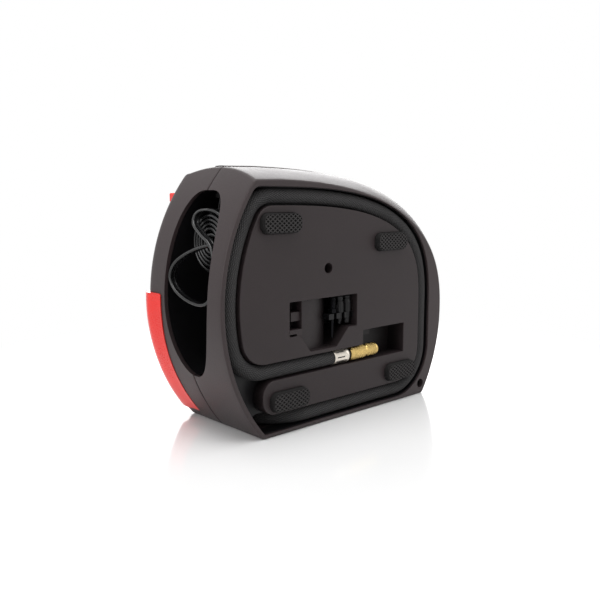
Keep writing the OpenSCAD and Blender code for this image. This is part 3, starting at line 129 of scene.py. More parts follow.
def cut_line(line: Sequence[Point], start: float, end: float, n: int) -> list[Point]:
    """Evenly spaced points of a line between two running lengths.

    Args:
        line: The line.
        start: Length left off at its start.
        end: Length left off at its end.
        n: Number of steps.

    Returns:
        n + 1 points.
    """
    run, out, k = lengths(line), [], 0
    for i in range(n + 1):
        s = mix(start, run[-1] - end, i / n)
        while k < len(run) - 2 and run[k + 1] < s:
            k += 1
        f = (s - run[k]) / max(1e-9, run[k + 1] - run[k])
        out.append(tuple(mix(a, b, f) for a, b in zip(line[k], line[k + 1])))
    return out


def soft_corner(a: Point, corner: Point, b: Point, k: int) -> list[Point]:
    """Points between a and b that round the corner, without a and b."""
    out = []
    for t in (i / k for i in range(1, k)):
        near, far = (1 - t) ** 2, 2 * t * (1 - t)
        out.append(tuple(near * p + far * c + t * t * q for p, c, q in zip(a, corner, b)))
    return out


def rounded_polygon(points: Sequence[Point], r: float, k: int = 4) -> list[Point]:
    """A polygon with its corners rounded.

    Args:
        points: Its corners.
        r: Length taken off each side of a corner.
        k: Steps round a corner.

    Returns:
        The rounded outline.
    """
    out: list[Point] = []
    for i, p in enumerate(points):
        a, b = Vector(points[i - 1]), Vector(points[(i + 1) % len(points)])
        p = Vector(p)
        start = p + (a - p).normalized() * min(r, (a - p).length * 0.45)
        end = p + (b - p).normalized() * min(r, (b - p).length * 0.45)
        out += [tuple(start), *soft_corner(start, p, end, k), tuple(end)]
    return out


def rounded_box(c: Point, w: float, h: float, r: float, t: float = 0, k: int = 8) -> list[Point]:
    """A rounded rectangle round c, grown by t."""
    x, y, r = w / 2 + t, h / 2 + t, max(0.05, r + t)
    out: list[Point] = []
    for i, (sx, sy) in enumerate(((1, 1), (-1, 1), (-1, -1), (1, -1))):
        middle = (c[0] + sx * (x - r), c[1] + sy * (y - r))
        out += arc(middle, r, 90 * i, 90 * i + 90, k)
    return out


def rectangle(u0: float, u1: float, z0: float, z1: float) -> list[Point]:
    """Corners of a rectangle."""
    return [(u0, z0), (u1, z0), (u1, z1), (u0, z1)]


DIAMOND = ((1, 0), (0, 1), (-1, 0), (0, -1))


def area(points: Sequence[Point]) -> float:
    """Area of a polygon."""
    turn = zip(points, [*points[1:], points[0]])
    return abs(sum(p[0] * q[1] - q[0] * p[1] for p, q in turn)) / 2


def clip(points: Sequence[Point], edge: Sequence[Point]) -> list[Point]:
    """The part of a polygon inside a convex, anticlockwise edge."""
    kept = list(points)
    for a, b in zip(edge, [*edge[1:], edge[0]]):
        if math.dist(a, b) < 1e-6:
            continue
        side = [(b[0] - a[0]) * (p[1] - a[1]) - (b[1] - a[1]) * (p[0] - a[0]) for p in kept]
        out: list[Point] = []
        for i, p in enumerate(kept):
            q, s, t = kept[i - 1], side[i - 1], side[i]
            if s * t < 0:
                f = s / (s - t)
                out.append((mix(q[0], p[0], f), mix(q[1], p[1], f)))
            if t >= 0:
                out.append(p)
        kept = out
        if not kept:
            break
    return kept


def crossing(a: Sequence[Point], b: Sequence[Point]) -> Point:
    """Where the end of line a meets the start of line b."""
    for i in range(len(a) - 1, 0, -1):
        p, r = Vector(a[i - 1]), Vector(a[i]) - Vector(a[i - 1])
        for j in range(len(b) - 1):
            q, s = Vector(b[j]), Vector(b[j + 1]) - Vector(b[j])
            d = r.cross(s)
            if abs(d) < 1e-12:
                continue
            t, u = (q - p).cross(s) / d, (q - p).cross(r) / d
            if -1e-9 <= t <= 1 + 1e-9 and -1e-9 <= u <= 1 + 1e-9:
                return tuple(p + r * t)
    return tuple(b[0])


def spline(points: Sequence[Sequence[float]], k: int) -> list[Vector]:
    """A smooth line through points, with k steps between each two."""
    v = [Vector(p) for p in points]
    out = []
    for i in range(len(v) - 1):
        a, b, c, d = v[max(0, i - 1)], v[i], v[i + 1], v[min(len(v) - 1, i + 2)]
        bend, twist = 2 * a - 5 * b + 4 * c - d, 3 * b - 3 * c + d - a
        for t in (j / k for j in range(k)):
            out.append(0.5 * (2 * b + (c - a) * t + bend * t * t + twist * t**3))
    return [*out, v[-1]]


def spline_flat(points: Sequence[Point], k: int) -> list[Point]:
    """A smooth line through flat points."""
    return [(p[0], p[1]) for p in spline([(*q, 0) for q in points], k)]


@dataclass(frozen=True)
class CaseForm:
    """Sizes of the case and the lines drawn on it, the same as the part's own."""

    side_r: float = 117.0
    side_mid: float = 77.0
    rim_top: float = 148.8
    rim_reach: float = 166.6
    crest_top: float = 157.2
    crest_reach: float = 183.4
    round_mid: float = 58.8
    low_r: float = 101.0
    rim_n: float = 2.43
    crest_n: float = 3.1
    corner_drop: float = 0.5
    crest_d: float = 45.0
    seam_d: float = 39.0
    seam_gap: float = 0.6
    shoulder_d: float = 69.0
    front_r: float = 7.0
    wall: float = 2.4
    front_fall: float = 0.4
    accent_t: float = 3.0
    foot_h: float = 3.0
    key_proud: float = 3.8
    hose_od: float = 9.1
    hose_gap: float = 0.7
    groove_d: float = 10.5
    floor_t: float = 1.6
    hose_in: float = 8.2
    hose_low: float = 7.7
    chuck_z: float = 38.6
    low_bend_r: float = 28.0
    in_bend_r: float = 22.0
    top_bend_r: float = 18.0
    groove_r: float = 7.0
    bar_r: float = 9.0
    panel_d: float = 0.8
    tray_x: float = 40.0
    loop_under: float = 9.2
    loop_inset: float = 18.9
    loop_lift: float = 4.2
    bar_u: float = 0.7
    nest_end: float = 126.4
    nest_top: float = 53.5
    mouth_c: Point = (36.0, 88.0)
    lamp_c: Point = (145.0, 82.0)

    @property
    def side_cu(self) -> float:
        """Centre of the arched side, from its foot."""
        return math.sqrt(self.side_r**2 - self.side_mid**2)

    @property
    def base_left(self) -> float:
        """X of the arched side's foot."""
        return (self.crest_reach - (self.side_r - self.side_cu) - self.accent_t) / 2

    @property
    def front_d(self) -> float:
        """Depth of the front face."""
        return self.shoulder_d + self.front_r

    @property
    def back_y(self) -> float:
        """Y of the back rim."""
        return (self.front_d + self.key_proud - self.foot_h) / 2

    @property
    def lane(self) -> float:
        """Half the groove's width."""
        return self.hose_od / 2 + self.hose_gap

    @property
    def hose_d(self) -> float:
        """Depth of the hose's centre line."""
        return self.groove_d / 2 + 0.2

    @property
    def floor_d(self) -> float:
        """Depth behind the groove's floor."""
        return self.groove_d + self.floor_t

    @property
    def loop_reach(self) -> float:
        """Furthest point of the hose's loop."""
        return self.rim_reach - self.loop_inset

    @property
    def loop_top(self) -> float:
        """Height of the loop's run under the top."""
        return self.rim_top - self.loop_under

    @property
    def low_c(self) -> Point:
        """Centre of the loop's lower round corner."""
        return self.loop_reach - self.low_bend_r, self.hose_low + self.low_bend_r

    @property
    def tray_in(self) -> float:
        """X of the compartment's inner wall."""
        return self.base_left + self.side_r - self.side_cu - self.tray_x

    def at(self, u: float, z: float, d: float) -> Vector:
        """Point u from the side's foot, at height z and depth d."""
        return Vector((self.base_left - u, self.back_y - d, z))

    def side_u(self, z: float, r: float | None = None) -> float:
        """u of the arched side at height z."""
        r = r or self.side_r
        return self.side_cu - math.sqrt(r * r - (z - self.side_mid) ** 2)

    def meet(self, z: float, r: float) -> Point:
        """u at height z on a circle of radius r about the side's centre, and the angle."""
        u = self.side_u(z, r)
        return u, math.degrees(math.atan2(z - self.side_mid, u - self.side_cu))

    def swell(self, d: float) -> float:
        """How far the outline has grown from the rim's to the crest's at depth d."""
        if d <= self.crest_d:
            return 1 - (1 - d / self.crest_d) ** 2
        f = min(1, (d - self.crest_d) / (self.shoulder_d - self.crest_d))
        return 1 - self.front_fall * f * f

    def crown(self, d: float) -> Triple:
        """Height, reach and power of the round end at depth d."""
        s = self.swell(d)
        return (
            mix(self.rim_top, self.crest_top, s),
            mix(self.rim_reach, self.crest_reach, s),
            mix(self.rim_n, self.crest_n, s),
        )

    def outline(self, d: float, t: float = 0, corner: float = 1.6) -> list[Point]:
        """The case's outline at depth d.

        Args:
            d: Depth.
            t: Distance that every side is moved inwards.
            corner: Length that each of the three corners takes off its sides.

        Returns:
            The same number of points for any d and t.
        """
        top, reach, n = self.crown(d)
        high, r = top - self.corner_drop, self.side_r - t
        side = [(self.side_u(z, r), z) for z in (mix(t - 1, high + 2, i / 80) for i in range(81))]
        low_a = math.degrees(math.asin(self.round_mid / self.low_r))
        crest = [(self.side_u(high), high)]
        crest += oval((0, self.round_mid), reach, top - self.round_mid, n, 87, 0, 260)
        crest = cut_line(crest, 0, 0, 200)
        crest += arc((reach - self.low_r, self.round_mid), self.low_r, 0, -low_a, 50)[1:]
        moved = []
        for i, p in enumerate(crest):
            a, b = crest[max(0, i - 1)], crest[min(len(crest) - 1, i + 1)]
            e = Vector((b[0] - a[0], b[1] - a[1])).normalized()
            moved.append((p[0] + e[1] * t, p[1] - e[0] * t))
        foot = (self.side_u(t, r), t)
        ext = Vector(moved[0]) - (Vector(moved[1]) - Vector(moved[0])).normalized() * 9
        head = crossing(side, [tuple(ext), *moved])
        end = crossing(moved, [(foot[0], t), (400.0, t)])
        side = [foot, *[p for p in side if foot[1] < p[1] < head[1]], head]
        moved = [head, *[p for p in moved if p[0] > head[0] and p[1] > t], end]
        steps = ((side, 56), (moved, 168), ([end, foot], 8))
        chains = [cut_line(line, corner, corner, k) for line, k in steps]
        out: list[Point] = []
        for i, p in enumerate((head, end, foot)):
            out += chains[i] + soft_corner(chains[i][-1], p, chains[(i + 1) % 3][0], 4)
        return out

    def low_corner(self, t: float, k: int = 16) -> list[Point]:
        """Lower round corner of the hose's loop, offset by t."""
        return arc(self.low_c, self.low_bend_r + t, 270, 360, k)

    def round_top(self, t: float, k: int = 70) -> list[Point]:
        """The loop's round end and its run under the top, offset by t."""
        mid = self.round_mid + self.loop_lift
        return oval((0, mid), self.loop_reach, self.loop_top - mid, 3, 0, 86, k, t)

    def top_bend(self) -> tuple[Point, float]:
        """Centre of the loop's upper compartment corner, and the angle where it ends."""
        z = self.loop_top - self.top_bend_r
        u, a = self.meet(z, self.side_r - self.hose_in - self.top_bend_r)
        return (u, z), a

    def in_bend(self) -> tuple[Point, float]:
        """Centre of the bend into the chuck's run, and the angle where it starts."""
        z = self.chuck_z + self.in_bend_r
        u, a = self.meet(z, self.side_r - self.hose_in - self.in_bend_r)
        return (u, z), 360 + a

    def top_corner(self, t: float, k: int = 14) -> list[Point]:
        """Upper compartment corner of the loop, offset by t."""
        c, a = self.top_bend()
        return arc(c, self.top_bend_r + t, 90, a, k)

    def arch(self, t: float, k: int = 30) -> list[Point]:
        """The loop's run along the arched side, offset by t."""
        c, r = (self.side_cu, self.side_mid), self.side_r - self.hose_in + t
        return arc(c, r, self.top_bend()[1], self.in_bend()[1], k)

    def in_corner(self, t: float, k: int = 16) -> list[Point]:
        """The loop's bend into the chuck's run, offset by t."""
        c, a = self.in_bend()
        return arc(c, self.in_bend_r + t, a, 270, k)

    def groove_edge(self, t: float = 0) -> list[Point]:
        """Outer edge of the groove, grown by t."""
        g = self.lane + t
        z = self.loop_top + self.lane - self.groove_r
        r = self.side_r - self.hose_in + g
        u, start = self.meet(z, self.side_r - self.hose_in + self.lane - self.groove_r)
        end = 180 + math.degrees(math.asin((self.side_mid - self.hose_low + g) / r))
        return [
            *self.low_corner(g),
            *self.round_top(g),
            *arc((u, z), self.groove_r + t, 90, start, 12),
            *arc((self.side_cu, self.side_mid), r, start, end, 44),
        ]

    def island(self, t: float = 0) -> list[Point]:
        """Edge of the back panel, shrunk by t."""
        g = -self.lane - t
        return [
            (self.loop_reach + g, self.chuck_z - g),
            *self.round_top(g),
            *self.top_corner(g),
            *self.arch(g),
            *self.in_corner(g),
        ]

    def bar(self, t: float = 0) -> list[Point]:
        """Edge of the bar under the chuck's run, shrunk by t."""
        g, end, r, u0 = self.lane + t, self.nest_end + t, self.bar_r, self.bar_u + self.bar_r
        low, high = self.hose_low + self.lane + r, self.chuck_z - self.lane - r
        return [
            *self.low_corner(-g),
            (self.loop_reach - g, self.nest_top),
            (end, self.nest_top),
            (end, self.chuck_z - g),
            *arc((u0, high), r - t, 90, 180, 12),
            *arc((u0, low), r - t, 180, 270, 12),
        ]

    def mouth(self, t: float = 0, k: int = 26) -> list[Point]:
        """Edge of the compartment's mouth as depth and height, grown by t."""
        c = self.mouth_c
        return [
            *oval(c, 20, 55, 3.7, 0, 86, k, t),
            *oval(c, 23.6, 55, 2.8, 94, 176, k, t),
            *oval(c, 23.6, 53.4, 2.1, 184, 266, k, t),
            *oval(c, 20, 53.4, 2.3, 274, 354, k, t),
        ]


FORM = CaseForm()


# ---------------------------------------------------------------- mesh work


def deselect() -> None:
    """Leaves nothing selected."""
    for o in bpy.context.selected_objects:
        o.select_set(False)


def only(obj: Piece) -> Piece:
    """Makes obj the one selected, active object."""
    deselect()
    obj.select_set(True)
    bpy.context.view_layer.objects.active = obj
    return obj


def named(obj: Piece, name: str) -> Piece:
    """Names a piece and its mesh."""
    obj.name = obj.data.name = name
    return obj


def put(name: str, data: bpy.types.ID) -> Piece:
    """Puts an object with this data into the scene."""
    obj = bpy.data.objects.new(name, data)
    bpy.context.collection.objects.link(obj)
    return obj


@contextmanager
def editing(obj: Piece) -> Iterator[None]:
    """Edit mode on one piece, with all of it selected at first."""
    only(obj)
    bpy.ops.object.mode_set(mode="EDIT")
    bpy.ops.mesh.select_all(action="SELECT")
    yield
    bpy.ops.mesh.select_mode(type="VERT")
    bpy.ops.object.mode_set(mode="OBJECT")


def pick_edges(obj: Piece, test: Callable[[bmesh.types.BMEdge], bool]) -> None:
    """Selects the edges that pass a test, in edit mode."""
    bpy.ops.mesh.select_mode(type="EDGE")
    bpy.ops.mesh.select_all(action="DESELECT")
    mesh = bmesh.from_edit_mesh(obj.data)
    for e in mesh.edges:
        e.select = test(e)
    bmesh.update_edit_mesh(obj.data)


def is_open(edge: bmesh.types.BMEdge) -> bool:
    """Whether an edge has one face."""
    return len(edge.link_faces) == 1


def face_outwards() -> None:
    """Turns every face outwards, in edit mode."""
    bpy.ops.mesh.select_mode(type="VERT")
    bpy.ops.mesh.select_all(action="SELECT")
    bpy.ops.mesh.normals_make_consistent(inside=False)


def loft(
    name: str, rings: Sequence[Sequence[Vector]], ends: tuple[bool, bool] = (True, True)
) -> Piece:
    """A skin over rings of the same number of points.

    Args:
        name: The piece's name.
        rings: Rings of points in millimetres.
        ends: Whether the first and the last ring are closed by a face.

    Returns:
        The new piece.
    """
    n = len(rings[0])
    deselect()
    bpy.ops.mesh.primitive_circle_add(vertices=n, radius=0.01, fill_type="NOTHING")
    obj = named(bpy.context.object, name)
    for v, p in zip(obj.data.vertices, rings[0]):
        v.co = Vector(p) * MM
    with editing(obj):
        row, total = list(range(n)), n
        for ring in rings[1:]:
            bpy.ops.mesh.extrude_region_move()
            mesh = bmesh.from_edit_mesh(obj.data)
            mesh.verts.index_update()
            mesh.verts.ensure_lookup_table()
            new = []
            for i, p in zip(row, ring):
                others = (e.other_vert(mesh.verts[i]) for e in mesh.verts[i].link_edges)
                v = next(v for v in others if v.index >= total)
                v.co = Vector(p) * MM
                new.append(v.index)
            row, total = new, total + n
        if ends[1]:
            bpy.ops.mesh.edge_face_add()
        if ends[0]:
            mesh = bmesh.from_edit_mesh(obj.data)
            mesh.verts.ensure_lookup_table()
            bpy.ops.mesh.select_all(action="DESELECT")
            for i in range(n):
                mesh.verts[i].select = True
            mesh.select_flush(True)
            bpy.ops.mesh.edge_face_add()
        face_outwards()
    return obj


def slab(name: str, outline: Outline, profile: Sequence[Point]) -> Piece:
    """A piece drawn on the back and built along the depth.

    Args:
        name: The piece's name.
        outline: Gives the points (u, z) for an offset t.
        profile: Depth and offset of each ring.

    Returns:
        The new piece.
    """
    return loft(name, [[FORM.at(*p, d) for p in outline(t)] for d, t in profile])


def block(name: str, points: Sequence[Point], d0: float, d1: float) -> Piece:
    """A piece with upright sides from depth d0 to d1."""
    return slab(name, lambda t: points, [(d0, 0), (d1, 0)])


def skin(name: str, profile: Sequence[Point]) -> Piece:
    """A piece with the case's outline, moved inwards, by depth and offset."""
    return loft(name, [[FORM.at(*p, d) for p in FORM.outline(d, t)] for d, t in profile])


def side_slab(name: str, outline: Outline, profile: Sequence[Point]) -> Piece:
    """A piece drawn on the side as (depth, z) and built along X by (X, offset)."""
    back = FORM.back_y
    rings = [[Vector((x, back - p[0], p[1])) for p in outline(t)] for x, t in profile]
    return loft(name, rings)


def turned(
    name: str,
    origin: Vector,
    axis: Vector,
    profile: Sequence[Point],
    n: int = 48,
    wave: Wave | None = None,
    ends: tuple[bool, bool] = (True, True),
) -> Piece:
    """A piece turned round an axis.

    Args:
        name: The piece's name.
        origin: Point of the axis where the height is 0.
        axis: Direction of the axis.
        profile: Radius and height of each ring.
        n: Points round the axis.
        wave: Change of the radius at an angle in degrees and a height.
        ends: Whether the first and last ring are closed.

    Returns:
        The new piece.
    """
    axis = axis.normalized()
    side = axis.orthogonal().normalized()
    other = axis.cross(side)
    rings = []
    for r, h in profile:
        ring = []
        for i in range(n):
            a = 2 * math.pi * i / n
            q = r + (wave(360 * i / n, h) if wave else 0)
            ring.append(origin + axis * h + (side * math.cos(a) + other * math.sin(a)) * q)
        rings.append(ring)
    return loft(name, rings, ends)


def combine(obj: Piece, tools: Iterable[Piece], how: str = "DIFFERENCE") -> Piece:
    """Cuts, joins or crosses a piece with others, which are used up."""
    for tool in tools:
        only(obj)
        m = obj.modifiers.new("shape", "BOOLEAN")
        m.operation, m.object, m.solver = how, tool, "EXACT"
        bpy.ops.object.modifier_apply(modifier=m.name)
        data = tool.data
        bpy.data.objects.remove(tool)
        bpy.data.meshes.remove(data)
    return obj


def join(name: str, parts: Sequence[Piece]) -> Piece:
    """Makes one piece of several."""
    only(parts[0])
    for o in parts[1:]:
        o.select_set(True)
    bpy.ops.object.join()
    return named(parts[0], name)


def ease_edges(
    obj: Piece,
    width: float,
    segments: int = 2,
    angle: float = 32,
    where: Callable[[Vector], bool] | None = None,
) -> Piece:
    """Bevels the sharp edges of a piece.

    Args:
        obj: The piece.
        width: Width of the bevel in millimetres.
        segments: Steps across it.
        angle: Least angle between the faces, in degrees.
        where: Chooses edges by their middle, in millimetres.

    Returns:
        The piece.
    """

    def sharp(edge: bmesh.types.BMEdge) -> bool:
        """Whether an edge is to be bevelled."""
        if len(edge.link_faces) != 2 or edge.calc_face_angle(0) <= math.radians(angle):
            return False
        return where is None or where((edge.verts[0].co + edge.verts[1].co) / 2 / MM)

    with editing(obj):
        pick_edges(obj, sharp)
        bpy.ops.mesh.bevel(offset=width * MM, segments=segments, profile=0.6, clamp_overlap=True)
    return obj


def smooth(obj: Piece, angle: float = 34) -> Piece:
    """Shades a piece smooth, but for edges sharper than angle, with flat faces kept flat."""
    only(obj)
    bpy.ops.object.shade_smooth_by_angle(angle=math.radians(angle))
    m = obj.modifiers.new("shading", "WEIGHTED_NORMAL")
    m.keep_sharp, m.weight = True, 60
    bpy.ops.object.modifier_apply(modifier=m.name)
    return obj


def tidy_mesh(obj: Piece) -> Piece:
    """Merges doubles and dissolves edges between faces that lie flat."""
    with editing(obj):
        bpy.ops.mesh.remove_doubles(threshold=2e-6)
        bpy.ops.mesh.dissolve_limited(angle_limit=math.radians(0.5))
        face_outwards()
    return obj


def close_ring(obj: Piece) -> Piece:
    """Bridges the first and last rings of a turned piece."""
    with editing(obj):
        pick_edges(obj, is_open)
        bpy.ops.mesh.bridge_edge_loops()
        face_outwards()
    return obj


def sweep(name: str, path: Sequence[Vector], section: Sequence[Point], side: Vector) -> Piece:
    """A cord: a section carried along a path, with a UV map round it and in millimetres along it.

    Args:
        name: The piece's name.
        path: The line it follows, in millimetres.
        section: Points across it, along the side vector and square to it.
        side: Direction of the section's first axis.

    Returns:
        The new piece.
    """
    n, m = len(section), len(path)
    verts, run = [], lengths(path)
    for i, p in enumerate(path):
        t = (path[min(m - 1, i + 1)] - path[max(0, i - 1)]).normalized()
        a = (side - t * side.dot(t)).normalized()
        b = t.cross(a)
        verts += [(p + a * x + b * y) * MM for x, y in section]
    faces = [
        (i * n + k, i * n + (k + 1) % n, (i + 1) * n + (k + 1) % n, (i + 1) * n + k)
        for i in range(m - 1)
        for k in range(n)
    ]
    ends = [tuple(range(n - 1, -1, -1)), tuple((m - 1) * n + k for k in range(n))]
    data = bpy.data.meshes.new(name)
    data.from_pydata(verts, [], faces + ends)
    uv = data.uv_layers.new(name="UVMap")
    for f in data.polygons:
        k, i = f.index % n, f.index // n
        corners = [(k, i), (k + 1, i), (k + 1, i + 1), (k, i + 1)]
        if f.index >= len(faces):
            corners = [(0, 0)] * n
        for loop, (x, y) in zip(f.loop_indices, corners):
            uv.data[loop].uv = (x / n, run[min(m - 1, y)])
    obj = only(put(name, data))
    bpy.ops.object.shade_smooth_by_angle(angle=math.radians(50))
    return obj


# ---------------------------------------------------------------- shader work


class Value:
    """A shader socket with the arithmetic of its number."""

    def __init__(self, tree: "Nodes", socket: Socket) -> None:
        """Wraps a socket of a node tree."""
        self.tree, self.socket = tree, socket

    def _do(self, how: str, *others: "Value | float", first: bool = True) -> "Value":
        """Math node on this value and others."""
        values = (self, *others) if first else (*others, self)
        return self.tree.math(how, *values)

    def __add__(self, other: "Value | float") -> "Value":
        """Sum."""
        return self._do("ADD", other)

    __radd__ = __add__

    def __mul__(self, other: "Value | float") -> "Value":
        """Product."""
        return self._do("MULTIPLY", other)

    __rmul__ = __mul__

    def __sub__(self, other: "Value | float") -> "Value":
        """Difference."""
        return self._do("SUBTRACT", other)

    def __rsub__(self, other: "Value | float") -> "Value":
        """Difference from another value."""
        return self._do("SUBTRACT", other, first=False)

    def __truediv__(self, other: "Value | float") -> "Value":
        """Quotient."""
        return self._do("DIVIDE", other)

    def __pow__(self, other: "Value | float") -> "Value":
        """Power."""
        return self._do("POWER", other)

    def __abs__(self) -> "Value":
        """Size without its sign."""
        return self._do("ABSOLUTE")

    def fraction(self) -> "Value":
        """Part after the point."""
        return self._do("FRACT")

    def floor(self) -> "Value":
        """Whole number below."""
        return self._do("FLOOR")

    def halves(self) -> "Value":
        """1 where a whole number is odd."""
        return (self * 0.5).fraction().over(0.25)

    def sine(self) -> "Value":
        """Sine."""
        return self._do("SINE")

    def over(self, limit: float) -> "Value":
        """1 where it is more than limit."""
        return self._do("GREATER_THAN", limit)

    def most(self, other: "Value | float") -> "Value":
        """Larger of two."""
        return self._do("MAXIMUM", other)

    def spread(self, low: float, high: float, a: float = 0, b: float = 1) -> "Value":
        """Its range from low to high carried to a to b, and held there."""
        sockets = {"Value": self, "From Min": low, "From Max": high, "To Min": a, "To Max": b}
        node = self.tree.add("ShaderNodeMapRange", {"clamp": True}, sockets)
        return Value(self.tree, node.outputs[0])


class Nodes:
    """A node tree under construction."""

    def __init__(self, tree: bpy.types.NodeTree) -> None:
        """Works on a tree."""
        self.nodes, self.links = tree.nodes, tree.links

    def add(
        self, kind: str, settings: dict | None = None, sockets: dict | None = None
    ) -> bpy.types.Node:
        """Adds a node.

        Args:
            kind: Its type.
            settings: Its own settings, set first; stops is a ramp's list.
            sockets: Values or links by the socket's name or number.

        Returns:
            The node.
        """
        node = self.nodes.new(kind)
        for key, value in (settings or {}).items():
            if key == "stops":
                ramp = node.color_ramp
                while len(ramp.elements) < len(value):
                    ramp.elements.new(0.5)
                for e, (place, colour) in zip(ramp.elements, value):
                    e.position, e.color = place, (*colour, 1)
            else:
                setattr(node, key, value)
        for key, value in (sockets or {}).items():
            self._plug(node.inputs[key], value)
        return node

    def _plug(self, socket: Socket, value: object) -> None:
        """Links or sets one input socket."""
        if isinstance(value, Value):
            self.links.new(value.socket, socket)
        elif isinstance(value, Socket):
            self.links.new(value, socket)
        elif socket.type == "RGBA" and len(value) == 3:
            socket.default_value = (*value, 1)
        else:
            socket.default_value = value

    def math(self, how: str, *values: Value | float) -> Value:
        """Math node on up to three values."""
        node = self.add("ShaderNodeMath", {"operation": how}, dict(enumerate(values)))
        return Value(self, node.outputs[0])

    def seen(self) -> Value:
        """1 for a ray from the camera, also off a mirror or through a clear piece."""
        path = self.add("ShaderNodeLightPath")
        seen = Value(self, path.outputs["Is Camera Ray"])
        for kind in ("Is Glossy Ray", "Is Transmission Ray"):
            seen = seen.most(Value(self, path.outputs[kind]))
        return seen

    def either(self, factor: Value, a: Socket, b: Socket) -> Socket:
        """Shader a, or b where factor is 1."""
        return self.add("ShaderNodeMixShader", None, {0: factor, 1: a, 2: b}).outputs[0]


class Shader(Nodes):
    """A material under construction, with its Principled shader."""

    def __init__(self, name: str, **constants: float | Colour) -> None:
        """Starts a material.

        Args:
            name: Its name.
            **constants: Values that stand on the shader's own sockets.
        """
        self.material = bpy.data.materials.new(name)
        self.material.use_nodes = True
        super().__init__(self.material.node_tree)
        self.base = self.nodes["Principled BSDF"]
        self.output = self.nodes["Material Output"]
        for key, value in constants.items():
            self.set(key.replace("_", " "), value)

    def set(self, name: str, value: object) -> None:
        """Sets or links an input of the Principled shader."""
        self._plug(self.base.inputs[name], value)

    def place(self, kind: str = "Object") -> Socket:
        """Texture coordinates of the piece."""
        return self.add("ShaderNodeTexCoord").outputs[kind]

    def parts(self, vector: Socket) -> tuple[Value, Value, Value]:
        """The three numbers of a vector."""
        node = self.add("ShaderNodeSeparateXYZ", None, {0: vector})
        return tuple(Value(self, o) for o in node.outputs)

    def vector(self, *values: Value | float) -> Socket:
        """A vector of three numbers."""
        return self.add("ShaderNodeCombineXYZ", None, dict(enumerate(values))).outputs[0]

    def noise(
        self, scale: float, detail: float = 2, rough: float = 0.5, vector: Socket | None = None
    ) -> Value:
        """Noise of so many waves a metre, or of a vector's units where one is given."""
        sockets = {"Vector": vector or self.place(), "Scale": scale}
        sockets |= {"Detail": detail, "Roughness": rough}
        node = self.add("ShaderNodeTexNoise", None, sockets)
        return Value(self, node.outputs["Fac"])

    def cells(self, scale: float) -> Value:
        """Distance to the nearest cell point."""
        sockets = {"Vector": self.place(), "Scale": scale}
        node = self.add("ShaderNodeTexVoronoi", {"feature": "F1"}, sockets)
        return Value(self, node.outputs["Distance"])

    def blend(self, factor: Value | float, a: object, b: object) -> Socket:
        """Colour between a and b."""
        settings = {"data_type": "RGBA", "blend_type": "MIX"}
        return self.add("ShaderNodeMix", settings, {0: factor, 6: a, 7: b}).outputs[2]

    def bump(self, height: Value, depth: float) -> Socket:
        """Normal of a height that is depth millimetres for 1."""
        sockets = {"Height": height, "Strength": 1.0, "Distance": depth * MM}
        return self.add("ShaderNodeBump", None, sockets).outputs[0]


def linear(r: int, g: int, b: int) -> Colour:
    """Linear colour of an sRGB colour of 0 to 255."""
    out = []
    for c in (r, g, b):
        c = c / 255
        out.append(c / 12.92 if c <= 0.04045 else ((c + 0.055) / 1.055) ** 2.4)
    return tuple(out)


def shade(colour: Colour, f: float) -> Colour:
    """A colour made lighter or darker."""
    return tuple(min(1.0, c * f) for c in colour)


@dataclass(frozen=True)
class Moulded:
    """Moulded plastic or rubber with a spark-eroded grain."""

    colour: Colour
    roughness: float = 0.5
    grain: float = 0.02
    pitch: float = 0.35
    patch: float = 0.08
    coat: float = 0.0
    specular: float = 0.5
    # deep and the depths after it paint shade: the colour darkens inside the recesses behind the
    # back
    deep: float = 0.0
    painted_shade_depths: Point = (1.5, 10.0)

    def material(self, name: str) -> bpy.types.Material:
        """Builds the material; deep paints shade: the colour darkens deeper behind the back, where
        shade falls in its recesses.
        """
        s = Shader(name, Coat_Roughness=0.15, Specular_IOR_Level=self.specular)
        wide = s.noise(28, 3, 0.55)
        fine = s.noise(1000 / self.pitch, 2, 0.6)
        pits = s.cells(1000 / (self.pitch * 2.2))
        tone = wide.spread(0.3, 0.7)
        pale, dark = shade(self.colour, 1 + self.patch), shade(self.colour, 1 - self.patch)
        colour = s.blend(tone, dark, pale)
        colour = s.blend(fine.spread(0.35, 0.75, 0, 0.35), colour, shade(self.colour, 0.72))
        # painted shade: darker colour deeper in the back's recesses, where light hardly reaches
        if self.deep:
            start, end = (d * MM for d in self.painted_shade_depths)
            recess_shade = (FORM.back_y * MM - s.parts(s.place())[1]).spread(start, end)
            colour = s.blend(recess_shade * self.deep, colour, shade(self.colour, 0.15))
        s.set("Base Color", colour)
        rough = fine.spread(0.3, 0.7, self.roughness - 0.05, self.roughness + 0.06)
        s.set("Roughness", rough + wide.spread(0.3, 0.7, -0.03, 0.04))
        if self.coat:
            s.set("Coat Weight", self.coat)
        s.set("Normal", s.bump(fine * 0.6 + pits * 0.8, self.grain))
        return s.material


@dataclass(frozen=True)
class Metal:
    """Turned, cast or plated metal."""

    colour: Colour
    roughness: float = 0.3
    streak: Colour = (1.0, 1.0, 1.0)
    depth: float = 0.006
    stain: float = 0.25

    def material(self, name: str) -> bpy.types.Material:
        """Builds the material; streak gives the turning marks' scale along each axis."""
        s = Shader(name, Metallic=1.0)
        x, y, z = s.parts(s.place())
        drawn = s.vector(x * self.streak[0], y * self.streak[1], z * self.streak[2])
        lines = s.noise(2200, 2, 0.6, drawn)
        cloud = s.noise(160, 3, 0.6)
        stain = cloud.spread(0.42, 0.75, 0, self.stain)
        s.set("Base Color", s.blend(stain, self.colour, shade(self.colour, 0.45)))
        rough = lines.spread(0.3, 0.7, self.roughness * 0.7, self.roughness * 1.35)
        s.set("Roughness", rough + cloud.spread(0.4, 0.8, 0, 0.12))
        s.set("Normal", s.bump(lines, self.depth))
        return s.material


